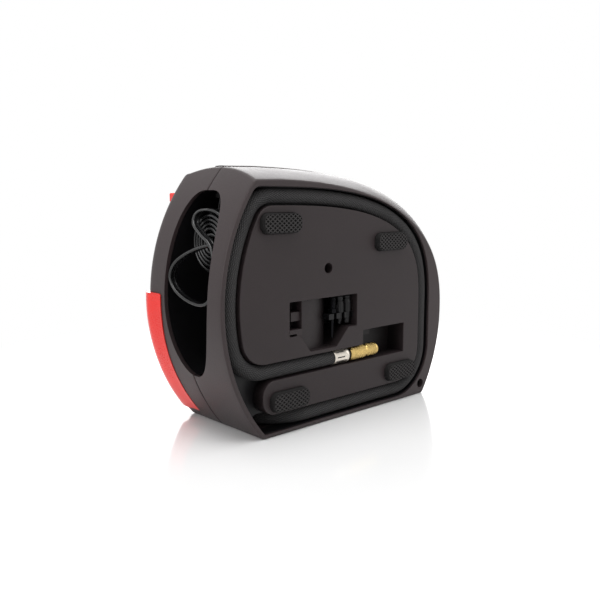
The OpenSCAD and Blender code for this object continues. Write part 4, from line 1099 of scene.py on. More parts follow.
@dataclass(frozen=True)
class Braid:
    """Textile braid over a hose, drawn on its UV map."""

    colour: Colour
    strands: int = 22
    pitch: float = 2.5

    def material(self, name: str) -> bpy.types.Material:
        """Builds the material; the map's second number is millimetres along the hose."""
        s = Shader(name, Specular_IOR_Level=0.5)
        u, v, _ = s.parts(s.place("UV"))
        a = u * self.strands + v / self.pitch
        b = u * self.strands - v / self.pitch
        over = (a.floor() + b.floor()).halves()
        ridge_a = 1 - abs(a.fraction() - 0.5) * 2
        ridge_b = 1 - abs(b.fraction() - 0.5) * 2
        top = over * ridge_a + (1 - over) * ridge_b
        across = over * ridge_b + (1 - over) * ridge_a
        crown = (top * across) ** 0.5
        along = over * b + (1 - over) * a
        thread = (along * 19.0).sine() * 0.5 + 0.5
        fuzz = s.noise(5200, 2, 0.7)
        tone = s.noise(60, 2, 0.5)
        # painted highlight and shade: the crown of each strand is coloured lighter and the gaps
        # between strands darker
        colour = s.blend(
            crown.spread(0.15, 0.85), shade(self.colour, 0.25), shade(self.colour, 2.4)
        )
        colour = s.blend(thread * 0.35, colour, shade(self.colour, 0.5))
        colour = s.blend(fuzz.spread(0.55, 0.8, 0, 0.3), colour, shade(self.colour, 4.0))
        colour = s.blend(tone.spread(0.3, 0.7, 0, 0.3), colour, shade(self.colour, 0.6))
        s.set("Base Color", colour)
        s.set("Roughness", crown.spread(0, 1, 0.9, 0.42) + fuzz * 0.06)
        height = crown + thread * 0.12 + fuzz * 0.08
        s.set("Normal", s.bump(height, 0.4))
        return s.material


@dataclass(frozen=True)
class Clear:
    """Clear or tinted plastic."""

    colour: Colour
    roughness: float = 0.1
    ribs: float = 0.0

    def material(self, name: str) -> bpy.types.Material:
        """Builds the material; ribs are rings a millimetre round the lamp's axis."""
        s = Shader(name, Transmission_Weight=1.0, IOR=1.46, Specular_IOR_Level=0.5)
        haze = s.noise(90, 3, 0.5)
        tint = s.blend(haze.spread(0.3, 0.7), shade(self.colour, 0.93), self.colour)
        s.set("Base Color", tint)
        s.set("Roughness", haze.spread(0.3, 0.8, self.roughness, self.roughness + 0.08))
        if self.ribs:
            x, _, z = s.parts(s.place())
            c = FORM.at(*FORM.lamp_c, 0) * MM
            r = ((x - c[0]) ** 2.0 + (z - c[2]) ** 2.0) ** 0.5
            s.set("Normal", s.bump((r * (1000 * self.ribs * 2 * math.pi)).sine(), 0.12))
        return s.material


class Finish(Enum):
    """The finishes of the object, each by its record slot."""

    SHELL = "shell"
    PANEL = "panel"
    RED = "red_plastic"
    DARK = "dark_plastic"
    FOOT = "foot_rubber"
    OXIDE = "black_steel"
    BLACK = "black_plastic"
    BRAID = "hose_braid"
    BRASS = "brass"
    NICKEL = "nickel"
    LEAD = "lead_rubber"
    SPRING = "spring_steel"
    FUSE = "fuse_glass"
    ZINC = "zinc_steel"
    MAGNET = "magnet"
    CARBON = "carbon"
    BRONZE = "bronze"
    COPPER = "copper"
    GEAR = "gear_steel"
    CAST = "cast_aluminium"
    SEAL = "ring_seal"
    PIPE = "pipe_silicone"
    BOARD = "board"
    LCD = "lcd"
    WINDOW = "window"
    GLOSS = "gloss_black"
    KEY = "key_rubber"
    INK = "ink"
    LENS = "lens"
    MIRROR = "reflector"
    LEDS = "led_board"


RECIPES = {
    Finish.SHELL: Moulded(linear(52, 43, 44), 0.4, 0.016, 0.5, 0.06, specular=0.3),
    # painted shade: the back panel is the shell's own plastic, coloured darker because the back
    # lies in shade, and deep paints shade in its recesses
    Finish.PANEL: Moulded(linear(45, 38, 39), 0.46, 0.018, 0.5, 0.06, specular=0.25, deep=0.85),
    Finish.RED: Moulded(linear(232, 44, 36), 0.3, 0.004, 0.8, 0.04, coat=0.2, specular=0.4),
    Finish.DARK: Moulded(linear(44, 40, 40), 0.4, 0.014, 0.5, 0.05),
    # painted shade: deep darkens the pads' sides and the pits of their lattice, where shade falls,
    # leaving the lattice tops lighter
    Finish.FOOT: Moulded(
        linear(50, 48, 48), 0.78, 0.03, 0.4, 0.1, specular=0.3, deep=0.85, painted_shade_depths=(-2.9, -2.3)
    ),
    Finish.OXIDE: Metal(linear(26, 26, 28), 0.36, depth=0.004),
    Finish.BLACK: Moulded(linear(14, 13, 15), 0.36, 0.012, 0.45, 0.08, specular=0.25),
    Finish.BRAID: Braid(linear(21, 19, 20)),
    Finish.BRASS: Metal(linear(200, 172, 108), 0.26, (1, 0.06, 0.06), 0.006, 0.5),
    Finish.NICKEL: Metal(linear(214, 207, 196), 0.33, (1, 0.1, 0.1), 0.004, 0.15),
    Finish.LEAD: Moulded(linear(18, 18, 19), 0.22, 0.004, 0.8, 0.1),
    Finish.SPRING: Metal(linear(176, 176, 178), 0.26, (1, 0.2, 0.2)),
    Finish.FUSE: Clear((0.9, 0.93, 0.95), 0.03),
    Finish.ZINC: Metal(linear(172, 174, 180), 0.34, (0.1, 1, 1), 0.005, 0.35),
    Finish.MAGNET: Moulded(linear(54, 54, 58), 0.6, 0.03, 0.3, 0.15),
    Finish.CARBON: Moulded(linear(36, 35, 36), 0.55, 0.02, 0.25, 0.2),
    Finish.BRONZE: Metal(linear(176, 134, 78), 0.38, depth=0.01, stain=0.4),
    Finish.COPPER: Metal(linear(188, 108, 60), 0.3, (8, 1, 1), 0.03, 0.3),
    Finish.GEAR: Metal(linear(150, 150, 152), 0.36, (0.1, 1, 1), 0.006, 0.4),
    Finish.CAST: Metal(linear(184, 186, 190), 0.44, depth=0.02, stain=0.3),
    Finish.SEAL: Moulded(linear(40, 40, 42), 0.5, 0.006, 0.4, 0.08),
    Finish.PIPE: Moulded(linear(204, 208, 208), 0.4, 0.006, 1.0, 0.05),
    Finish.BOARD: Moulded(linear(24, 92, 58), 0.32, 0.01, 1.2, 0.12, coat=0.3),
    Finish.LCD: Moulded(linear(150, 164, 150), 0.25, 0.002, 2.0, 0.03, coat=0.5),
    Finish.WINDOW: Clear((0.55, 0.6, 0.62), 0.04),
    Finish.GLOSS: Moulded(linear(12, 12, 13), 0.16, 0.002, 1.5, 0.05, coat=0.6),
    Finish.INK: Moulded(linear(214, 214, 210), 0.5, 0.004, 0.5, 0.04),
    Finish.KEY: Moulded(linear(58, 58, 60), 0.55, 0.012, 0.4, 0.06),
    Finish.LENS: Clear((0.94, 0.96, 0.97), 0.08, ribs=0.9),
    Finish.MIRROR: Metal(linear(232, 232, 234), 0.08, depth=0.001, stain=0.05),
    Finish.LEDS: Moulded(linear(226, 224, 212), 0.4, 0.006, 0.8, 0.05),
}


class Workshop:
    """Dresses pieces: gives each its finish, its body and its record slot."""

    def __init__(self, nodes: dict[str, Piece]) -> None:
        """Builds every finish once.

        Args:
            nodes: The CAD nodes by name.
        """
        self.nodes = nodes
        self.materials = {f: RECIPES[f].material(f.value) for f in Finish}
        self.count = 0

    def dress(
        self,
        obj: Piece,
        finish: Finish,
        body: str = "case",
        replaces: Sequence[str] = (),
    ) -> Piece:
        """Finishes a piece.

        Args:
            obj: The piece.
            finish: What it is made of.
            body: The CAD body that it moves with.
            replaces: CAD nodes that it stands for.

        Returns:
            The piece.
        """
        self.coat(obj, finish)
        if replaces:
            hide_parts(*replaces)
        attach(obj, body)
        self.count += 1
        log.info("%s: %s on %s, %d faces", obj.name, finish.value, body, len(obj.data.polygons))
        return obj

    def coat(self, obj: Piece, finish: Finish) -> None:
        """Gives a piece, or a CAD node that is kept, its finish."""
        obj.data.materials.clear()
        obj.data.materials.append(self.materials[finish])

    def refine(
        self, node: str, finish: Finish, body: str = "case", edge: float = 0.25
    ) -> Piece:
        """A copy of a CAD node with eased edges, which stands for it.

        Args:
            node: The CAD node.
            finish: What it is made of.
            body: The body that it moves with.
            edge: Width of the bevel on its edges, in millimetres.

        Returns:
            The piece.
        """
        name = f"{node}_piece"
        obj = named(put(name, self.nodes[node].data.copy()), name)
        smooth(ease_edges(tidy_mesh(obj), edge, 2))
        return self.dress(obj, finish, body, [node])


# ---------------------------------------------------------------- studio


@dataclass
class Studio:
    """Camera, lights and floor."""

    eye: tuple[float, float, float] = (327.745, 341.8, 140.0)
    forward: tuple[float, float, float] = (-0.6718, -0.7262, -0.1461)
    right: tuple[float, float, float] = (-0.734, 0.679, 0.0)
    lens: float = 42.6

    def camera(self) -> None:
        """Stands the camera at its place."""
        data = bpy.data.cameras.new("camera")
        data.lens, data.sensor_width = self.lens, 36
        data.clip_start, data.clip_end = 0.01, 20
        cam = put("camera", data)
        f = Vector(self.forward).normalized()
        r = Vector(self.right)
        r = (r - f * r.dot(f)).normalized()
        turn = Matrix((r, r.cross(f), -f)).transposed()
        cam.matrix_world = Matrix.Translation(Vector(self.eye) * MM) @ turn.to_4x4()
        bpy.context.scene.camera = cam

    def lamp(
        self, name: str, place: Sequence[float], aim: Sequence[float], size: float, watts: float
    ) -> None:
        """Adds a square soft lamp that looks at a point."""
        data = bpy.data.lights.new(name, "AREA")
        data.shape, data.size, data.energy = "SQUARE", size, watts
        lamp = put(name, data)
        lamp.location = place
        lamp.rotation_mode = "QUATERNION"
        lamp.rotation_quaternion = (Vector(aim) - Vector(place)).to_track_quat("-Z", "Y")

    def build(self) -> None:
        """Lights the room and lays the floor."""
        scene = bpy.context.scene
        scene.view_settings.view_transform = "Standard"
        scene.world = scene.world or bpy.data.worlds.new("room")
        scene.world.use_nodes = True
        tree = scene.world.node_tree
        tree.nodes.clear()
        room = Nodes(tree)
        soft, white = (
            room.add("ShaderNodeBackground", None, {"Color": (1, 1, 1), "Strength": s}).outputs[0]
            for s in (0.45, 1.0)
        )
        room.add("ShaderNodeOutputWorld", None, {0: room.either(room.seen(), soft, white)})
        self.lamp("top_lamp", (0.1, 0.15, 1.3), (0, 0, 0.05), 1.1, 13)
        self.lamp("side_lamp", (1.2, -0.1, 0.6), (0.05, 0, 0.08), 0.8, 5)
        self.lamp("back_lamp", (-0.5, 1.2, 0.8), (0, 0, 0.08), 0.9, 3.5)
        self.lamp("rim_lamp", (-1.3, -1.4, 0.55), (0, 0, 0.12), 1.4, 20)
        self.floor()

    def floor(self) -> None:
        """Lays the pale, slightly glossy floor, which fades to white away from the object."""
        deselect()
        bpy.ops.mesh.primitive_plane_add(size=30, location=(0, 0, -0.0002))
        floor = bpy.context.object
        floor.name = "floor"
        s = Shader("floor", Specular_IOR_Level=0.3)
        cloud = s.noise(3, 2).spread(0.3, 0.7)
        s.set("Base Color", s.blend(cloud, (0.9, 0.9, 0.9), (0.91, 0.91, 0.91)))
        s.set("Roughness", s.noise(40, 2).spread(0.3, 0.7, 0.1, 0.14))
        x, y, _ = s.parts(s.place())
        away = ((x * x + y * y) ** 0.5).spread(0.12, 0.34)
        glow = s.add("ShaderNodeEmission", None, {"Color": (1, 1, 1), "Strength": 1.0})
        faded = s.either(s.seen() * away, s.base.outputs[0], glow.outputs[0])
        s.links.new(faded, s.output.inputs[0])
        floor.data.materials.append(s.material)


# ---------------------------------------------------------------- hose and its end


@dataclass
class HoseRun:
    """The braided hose in its groove, with the ferrule and the chuck on its end."""

    dive_u: float = 36.0
    dive_r: float = 30.0
    dive_turn: float = 80.0
    ferrule_u: float = 59.6
    ferrule_l: float = 13.0
    seal_l: float = 2.4
    chuck_r: float = 4.8

    def route(self) -> list[Vector]:
        """The hose's centre line, from inside the case to the ferrule."""
        f, r, turn = FORM, self.dive_r, math.radians(self.dive_turn)
        d, low = f.hose_d, f.low_c
        u = self.dive_u - r * math.sin(turn) - math.cos(turn)
        out = [(u, f.hose_low, d + r * (1 - math.cos(turn)) + math.sin(turn))]
        for i in range(24, 0, -1):
            a = turn * i / 24
            out.append((self.dive_u - r * math.sin(a), f.hose_low, d + r * (1 - math.cos(a))))
        out += [(mix(self.dive_u, low[0], i / 24), f.hose_low, d) for i in range(24)]
        flat = f.low_corner(0, 20)
        flat += [(f.loop_reach, mix(low[1], f.round_mid + f.loop_lift, i / 4)) for i in (1, 2, 3)]
        flat += f.round_top(0, 90) + f.top_corner(0, 16)
        flat += f.arch(0, 44)[1:] + f.in_corner(0, 18)[1:]
        start, end = flat[-1][0], self.ferrule_u + self.ferrule_l - 4
        flat += [(mix(start, end, i / 14), f.chuck_z) for i in range(1, 15)]
        out += [(p[0], p[1], d) for p in flat]
        line = [f.at(u, z, d) for u, z, d in out]
        kept = [line[0]]
        for p in line[1:]:
            if (p - kept[-1]).length > 0.6:
                kept.append(p)
        return kept

    def end_piece(
        self, name: str, u: float, profile: Sequence[Point], n: int, wave: Wave | None = None
    ) -> Piece:
        """A piece turned on the hose's end, with its heights measured from u."""
        start = FORM.at(u, FORM.chuck_z, FORM.hose_d)
        return turned(name, start, Vector((-1, 0, 0)), profile, n, wave)

    def build(self, shop: Workshop) -> None:
        """Makes the hose and its end."""
        path = self.route()
        section = arc((0, 0), FORM.hose_od / 2, 0, 345, 23)
        hose = sweep("air_hose_braid", path, section, Vector((0, -0.3, 1)).normalized())
        ferrule, seal, chuck = self.ferrule(shop), self.seal(shop), self.chuck(shop)
        shop.dress(hose, Finish.BRAID, "case", ["air_hose"])
        tuple(path[0] * MM)
        [tuple(p * MM) for p in path]
        log.info("hose length %.3f m", lengths(path)[-1] * MM)

    def ferrule(self, shop: Workshop) -> Piece:
        """The crimped ferrule: a flared mouth, eight pressed flats and a collar."""

        def press(angle: float, h: float) -> float:
            """Depth of the crimp's flats at an angle and height."""
            if not 1.3 < h < 11.6:
                return 0.0
            q = math.radians((angle + 22.5) % 45 - 22.5)
            side = min(1.0, (h - 1.3) / 0.9, (11.6 - h) / 0.9)
            return side * (4.5 / math.cos(q) - 4.86)

        end = self.ferrule_l
        profile = [(4.6, 0.9), (4.6, 0.25), (4.72, 0.05), (4.86, 0), (4.95, 0.15), (4.95, 0.9)]
        profile += [(4.86, mix(1.3, 11.6, i / 16)) for i in range(17)]
        profile += [(4.9, 11.9), (4.95, 12.4), (4.85, 12.8), (4.5, end), (2, end)]
        obj = self.end_piece("hose_ferrule_crimped", self.ferrule_u, profile, 96, press)
        return shop.dress(smooth(obj, 16), Finish.NICKEL, "case", ["hose_ferrule"])

    def seal(self, shop: Workshop) -> Piece:
        """The soft ring between the ferrule and the chuck."""
        u = self.ferrule_u + self.ferrule_l + 0.05
        w = self.seal_l - 0.1
        profile = [(2.1, 0), (3.8, 0)]
        for i in range(9):
            bulge = 0.45 * math.sin(math.pi * i / 8)
            profile.append((3.75 + bulge, mix(0.05, w - 0.05, i / 8)))
        profile += [(3.8, w), (2.1, w)]
        obj = smooth(self.end_piece("chuck_seal_ring", u, profile, 48))
        return shop.dress(obj, Finish.BLACK, "case", ["chuck_seal"])

    def chuck(self, shop: Workshop) -> Piece:
        """The brass chuck: two knurled bands, a waist between them and a threaded bore."""

        def knurl(angle: float, h: float) -> float:
            """Height of the diamond knurl."""
            inside = 1.2 < h < 13.4 or 16.4 < h < 24.6
            if not inside:
                return 0.0
            a = (angle / 360 * 26 + h / 1.6) % 1
            b = (angle / 360 * 26 - h / 1.6) % 1
            return 0.34 * min(1 - abs(2 * a - 1), 1 - abs(2 * b - 1)) - 0.3

        u = self.ferrule_u + self.ferrule_l + self.seal_l
        r = self.chuck_r
        profile = [(2.1, 0.6), (2.1, 0), (r - 0.5, 0), (r - 0.1, 0.35), (r - 0.1, 1)]
        profile += [(r, mix(1.25, 13.35, i / 60)) for i in range(61)]
        profile += [(r - 0.15, 13.7), (r - 0.15, 14.1), (r - 0.9, 14.5), (r - 0.9, 15.7)]
        profile += [(r - 0.5, 16.2)]
        profile += [(r - 0.5, mix(16.45, 24.55, i / 40)) for i in range(41)]
        profile += [(r - 0.55, 24.9), (r - 0.55, 25.6), (4.05, 26), (3.85, 25.8)]
        for i in range(9):
            profile += [(3.85, 25.5 - i * 0.9), (3.6, 25.05 - i * 0.9)]
        profile += [(3.85, 17.2), (0.6, 17)]
        obj = self.end_piece("brass_chuck_knurled", u, profile, 104, knurl)
        return shop.dress(smooth(obj, 40), Finish.BRASS, "chuck", ["brass_chuck"])


# ---------------------------------------------------------------- lead, coil and plug


@dataclass
class LeadRun:
    """The twin lead, coiled in its compartment, with its grommet and 12 V plug."""

    width: float = 5.0
    thick: float = 2.0
    coil_r: float = 18.3
    coil_c: tuple[float, float] = (35.0, 113.0)
    coil_e: tuple[float, ...] = (-8.2, -2.75, 2.7, 8.15)
    loops: float = 20.75
    lead_e: float = -8.2

    def coil_point(self, q: float) -> Vector:
        """Point of the coil after q loops."""
        pitch, layer = self.thick + 0.45, self.loops / len(self.coil_e)

        def drop(s: float) -> float:
            """Radius lost after s loops of a layer."""
            return pitch * (
                min(1, max(0, (s - 0.25) / 0.5))
                + min(layer - 1.5, max(0, s - 0.75))
                + min(1, max(0, (s - layer + 0.75) / 0.5))
            )

        last = len(self.coil_e) - 1
        k = min(last, int(q // layer))
        s = q - k * layer
        up = min(1, max(0, (s - layer + 0.25) / 0.5)) if k < last else 0
        down = min(1, max(0, (0.25 - s) / 0.5)) if k > 0 else 0
        r = self.coil_r - drop(s if k % 2 == 0 else layer - s)
        e = self.coil_e[k]
        e += up * (self.coil_e[min(last, k + 1)] - self.coil_e[k])
        e -= down * (self.coil_e[k] - self.coil_e[max(0, k - 1)])
        a = 2 * math.pi * q
        depth, z = self.coil_c[0] + r * math.cos(a), self.coil_c[1] - r * math.sin(a)
        return Vector((FORM.base_left + e, FORM.back_y - depth, z))

    def route(self) -> list[Vector]:
        """The lead's centre line, from the circuit board to the plug."""
        bl, by, e = FORM.base_left, FORM.back_y, self.lead_e
        x = bl - 44
        board = [
            (x, 66.9, 100), (x + 0.2, 65, 100.2), (x + 2, 63.4, 103), (39, 63, 109.5),
            (45.5, 63, 117), (52, 63, 126.5), (58.5, 63, 137), (63.5, 61, 146),
            (66.6, 56.4, 151.2), (bl + e, 51, 152.4), (bl + e, 47.4, 150.8),
            (bl + e, 46.3, 147),
        ]  # fmt: skip
        down = [
            (e, 46.3, 142), (e, 46.6, 138), (e, 49.6, 129), (e, 52.2, 121), (e, 53.3, 116),
        ]  # fmt: skip
        loose = [
            (9.2, 38.8, 131.5), (11.2, 42, 130.4), (13.4, 43.2, 127.4), (15.6, 40.6, 122.6),
            (18.2, 29.5, 117), (19.4, 22.8, 114.4), (20, 17.8, 110), (20.4, 15.8, 104),
            (20.8, 15.5, 97.5), (21.2, 15.6, 91), (21.8, 16.8, 84.6), (22.4, 19.8, 80.2),
            (23, 25.6, 78.4), (23.6, 34, 79.2), (24.2, 43, 82), (24.5, 50, 86.3),
            (24.6, 53.4, 92.8), (23.6, 51, 99.6), (21.4, 45.5, 104.6), (18.4, 38.5, 108.5),
            (15.6, 31.5, 111), (13.6, 25, 112), (13.4, 19, 110.5), (12.2, 15.6, 105.8),
            (9, 15.4, 100.5), (4.8, 18.2, 96.2), (2.4, 22.4, 93.6), (1.3, 25.4, 91.4),
            (1.3, 26, 88.1),
        ]  # fmt: skip
        n = round(self.loops * 36)
        coil = [self.coil_point(i / 36) for i in range(n + 1)]
        start = [Vector((x, by - d, z)) for x, d, z in board]
        start += [Vector((bl + x, by - d, z)) for x, d, z in down]
        after = [Vector((bl + x, by - d, z)) for x, d, z in loose]
        head = spline([*start, coil[0], coil[3]], 6)[:-6]
        tail = spline([coil[-4], coil[-1], *after], 6)[7:]
        return [*head[:-1], *coil, *tail]

    def section(self) -> list[Point]:
        """Two round cores with a web between them."""
        h, c = self.thick / 2, self.width / 2 - self.thick / 2
        right = arc((c, 0), h, -118, 118, 8)
        left = arc((-c, 0), h, 62, 298, 8)
        return [*right, (0.0, h * 0.55), *left, (0.0, -h * 0.55)]

    def build(self, shop: Workshop) -> None:
        """Makes the lead, its grommet and its plug."""
        path = self.route()
        lead = sweep("power_lead_twin", path, self.section(), Vector((1, 0, 0)))
        plug = self.plug(shop)
        shop.dress(lead, Finish.LEAD, "case", ["power_lead", "lead_coil"])
        tuple(path[0] * MM)
        [tuple(p * MM) for p in path]
        log.info("lead length %.3f m", lengths(path)[-1] * MM)
        shop.refine("lead_grommet", Finish.FOOT)

    def plug(self, shop: Workshop) -> list[Piece]:
        """The 12 V plug: a ribbed body, a screwed cap, a sprung tip and contacts; its fuse keeps
        its CAD shape.
        """
        at = Vector((FORM.base_left + 1.3, FORM.back_y - 26, 0))
        low, r = 33.0, 10.4

        def flutes(angle: float, h: float) -> float:
            """Depth of the grip's flutes."""
            return -0.35 * (58 < h < 65.6 and math.sin(math.radians(angle * 18)) > 0.2)

        def teeth(angle: float, h: float) -> float:
            """Depth of the cap's flutes."""
            inside = low - 4.5 < h < low - 0.5
            return -0.25 * (inside and math.sin(math.radians(angle * 24)) > 0.3)

        body = turned(
            "plug_body_grip", at, UP,
            [(7.52, low + 4), (7.52, low), (r - 0.6, low), (r - 0.1, low + 0.25), (r, low + 0.8),
             (r, 41), (r, 57), (r, 57.6), (r, 58.2), (r, 60), (r - 0.3, 62), (r - 0.7, 65),
             (r - 1, 66), (9, 70), (8.4, 74), (7, 78), (5.6, 81), (4.9, 81.6), (4.4, 82.2),
             (4.4, 83.1), (3.9, 83.3), (3.9, 84), (4.4, 84.2), (4.4, 85.1), (3.9, 85.3),
             (3.9, 86), (4.4, 86.2), (4.4, 87.6), (4, 88), (2, 88)],
            72, flutes,
        )  # fmt: skip
        slots = [slab_box("slot", at + Vector((0, s * 9.1, 50)), (5.5, 6.2, 12.3)) for s in (-1, 1)]
        cap = turned(
            "plug_cap_ring", at, UP,
            [(3.94, low + 4), (3.94, low - 4.9), (9, low - 5), (9.4, low - 4.6),
             (9.4, low - 0.4), (9.1, low - 0.05), (7.5, low - 0.05), (7.5, low + 4)],
            72, teeth, (False, False),
        )  # fmt: skip
        tip = turned(
            "plug_tip_pin", at, UP,
            [(0.4, low - 8), (1.6, low - 7.85), (2.6, low - 7.4), (3.4, low - 6.9),
             (3.9, low - 6.1), (3.9, low + 4.1), (5, low + 4.1), (5, low + 6), (0.4, low + 6)],
            40,
        )  # fmt: skip
        body = smooth(combine(body, slots), 30)
        shop.dress(body, Finish.BLACK, "case", ["plug_body"])
        shop.dress(smooth(close_ring(cap), 30), Finish.DARK, "case", ["plug_cap"])
        shop.dress(smooth(tip, 40), Finish.NICKEL, "plug_point", ["plug_tip"])
        contacts = [
            shop.refine(f"plug_contact_{side}", Finish.NICKEL, f"contact_{side}", 0.3)
            for side in "ab"
        ]
        return [body, cap, tip, *contacts]


def slab_box(name: str, c: Vector, size: Sequence[float]) -> Piece:
    """A block used to cut or join, round c, in millimetres."""
    x, y, z = (s / 2 for s in size)
    rings = [
        [c + Vector((i, j, k)) for i, j in ((-x, -y), (x, -y), (x, y), (-x, y))]
        for k in (-z, z)
    ]
    return loft(name, rings)


# ---------------------------------------------------------------- case


@dataclass
class Case:
    """The shells, the back panel in the rear one, and what is fixed to them."""

    notch_u: Point = (21.4, 79.1)
    notch_z: Point = (57.4, 78.0)
    notch_dip: float = 46.2
    notch_d: float = 22.0
    nest_u: Point = (85.4, FORM.nest_end)
    nest_d: float = 15.0
    foot: Point = (28.7, 11.5)
    foot_r: float = 4.5
    feet: tuple[Point, ...] = ((14, 124.3), (109.9, 109.9), (20.3, 20.3), (121.8, 21))
    screws: tuple[Triple, ...] = (
        (53.2, 96, 30), (145.3, 7.4, 5.5), (20.3, 20.3, 30), (131, 21, 30),
    )  # fmt: skip
    adapters: tuple[Triple, ...] = ((62.6, 7, 1.1), (69, 7, 1.9), (75.4, 7, 2.5))

    def notch(self, t: float = 0) -> list[Point]:
        """Edge of the accessory notch, grown by t."""
        (u0, u1), (z0, z1) = self.notch_u, self.notch_z
        q, dip = t * 0.4, self.notch_dip - t
        corners = [
            (u0 - t, z1 + t), (u0 - t, z0 - t), (29.8 - q, z0 - t), (38.4 - q, dip),
            (60.8 + q, dip), (71.4 + q, z0 - t), (u1 + t, z0 - t), (u1 + t, z1 + t),
        ]  # fmt: skip
        return rounded_polygon(corners, 0.7)

    def nest(self, t: float = 0) -> list[Point]:
        """Edge of the chuck's nest, grown by t."""
        (u0, u1), z0 = self.nest_u, FORM.chuck_z - FORM.lane
        return rounded_polygon(rectangle(u0 - t, u1 + t, z0 - t, FORM.nest_top + t), 0.7)

    def bore(self, u: float, z: float, r: float, d0: float, d1: float) -> Piece:
        """A round cutter or boss along the depth."""
        return turned("bore", FORM.at(u, z, 0), Vector((0, -1, 0)), [(r, d0), (r, d1)], 32)

    def mouth_cut(self) -> Piece:
        """Cutter of the compartment's mouth."""
        return side_slab("mouth", FORM.mouth, [(FORM.tray_in, 0), (FORM.tray_in + 60, 0)])

    def recesses(self, d0: float, t: float, less: float = 0) -> list[Piece]:
        """Cutters from depth d0 for the notch and nest, grown by t, and the hose's pit."""
        cuts = [slab("recess", edge, [(d0, t), (13, t)]) for edge in (self.notch, self.nest)]
        pit = rounded_box((15.75, FORM.hose_low), 33.5, 2 * FORM.lane - less, 4)
        return [*cuts, block("pit", pit, d0, 14)]

    def rear_cover(self, shop: Workshop) -> None:
        """The rear shell: rounded rim, hose groove, hollow inside and mouth."""
        f = FORM
        end = f.seam_d - f.seam_gap / 2
        profile = [(0, 1.0), (0.1, 0.55), (0.35, 0.2), (0.9, 0)]
        profile += [(mix(0.9, end - 0.5, i / 12), 0) for i in range(1, 13)]
        profile += [(end - 0.35, 0.1), (end - 0.1, 0.35), (end, 0.7)]
        cover = skin("rear_cover", profile)
        steps = [(-1, 0.6), (0, 0.6), (0.12, 0.25), (0.5, 0), (9.6, 0), (10.2, -0.2), (10.5, -0.8)]
        hollow = skin("hollow", [(d, f.wall) for d in (f.floor_d, 18, 24, 30, 36, 41)])
        cuts = [slab("groove", f.groove_edge, steps), hollow, self.mouth_cut()]
        cuts += self.recesses(9, 1.7)
        for u, z, seat in self.screws:
            cuts += [self.bore(u, z, 3.2, -1, min(seat, 30)), self.bore(u, z, 1.9, 0, 60)]
        self.ease_mouth(combine(cover, cuts))
        shop.dress(smooth(cover, 38), Finish.SHELL, "case", ["rear_shell"])

    def groove_shade_sheet(self, shop: Workshop) -> None:
        """A black sheet over the hose's groove, painted shade: the groove is the shell's own
        plastic, darkened where shade falls.
        """
        f = FORM
        liner = slab("groove_shade_liner", f.groove_edge, [(1.5, -0.04), (f.groove_d - 0.02, -0.04)])
        inside = slab("inside", f.groove_edge, [(-1, -0.3), (f.groove_d - 0.25, -0.3)])
        cuts = [inside, *self.recesses(0, 1.75, 0.7)]
        cuts += [self.bore(u, z, 4.6, -1, 20) for u, z, _ in self.screws]
        shop.dress(smooth(combine(liner, cuts), 38), Finish.BLACK)

    def ease_mouth(self, cover: Piece) -> None:
        """Rounds the mouth's lip on the outside of a shell."""
        f = FORM

        def lip(p: Vector) -> bool:
            """Whether a point lies on the mouth's edge in the arched skin."""
            r = math.hypot(p[0] - (f.base_left - f.side_cu), p[2] - f.side_mid)
            d = f.back_y - p[1]
            return r > f.side_r - 0.4 and 10 < d < 60 and 32 < p[2] < 146

        ease_edges(cover, 0.7, 3, 40, lip)

    def back_panel(self, shop: Workshop) -> None:
        """The island and the bar that the hose runs round, with their recesses."""
        f = FORM
        top = [(f.panel_d, 0.55), (0.87, 0.26), (1.05, 0.07), (1.4, 0), (f.groove_d, 0)]
        panel = slab("back_panel", f.island, top)
        adds = [slab("bar", f.bar, top)]
        for edge, depth in ((self.notch, self.notch_d), (self.nest, self.nest_d)):
            adds.append(slab("tub", edge, [(2, 1.7), (depth + 1.8, 1.7)]))
        adds += [self.bore(*self.screws[i][:2], 4.5, 3, 36.7) for i in (0, 2, 3)]
        combine(panel, adds, "UNION")
        lip = [(-1, 0.4), (f.panel_d, 0.4), (0.95, 0.12), (1.25, 0)]
        run = rectangle(60, self.nest_u[0] + 1, f.chuck_z - f.lane, f.chuck_z + f.lane)
        cuts = [
            slab("notch", self.notch, [*lip, (self.notch_d, 0)]),
            slab("nest", self.nest, [*lip, (self.nest_d, 0)]),
            block("run", run, -1, f.groove_d),
        ]
        seat = [(-1, 0.4), (f.panel_d, 0.4), (1.0, 0.15), (1.4, 0.15)]
        cuts += [slab("foot", lambda t, c=c: self.foot_edge(c, t), seat) for c in self.feet]
        for u, z, end in self.screws:
            hole = slab("hole", lambda t: arc((u, z), 3.2 + t, 0, 348.75, 31), [*lip, (end, 0)])
            cuts += [hole, self.bore(u, z, 1.9, 0, 60)]
        shop.dress(smooth(combine(panel, cuts), 38), Finish.PANEL)

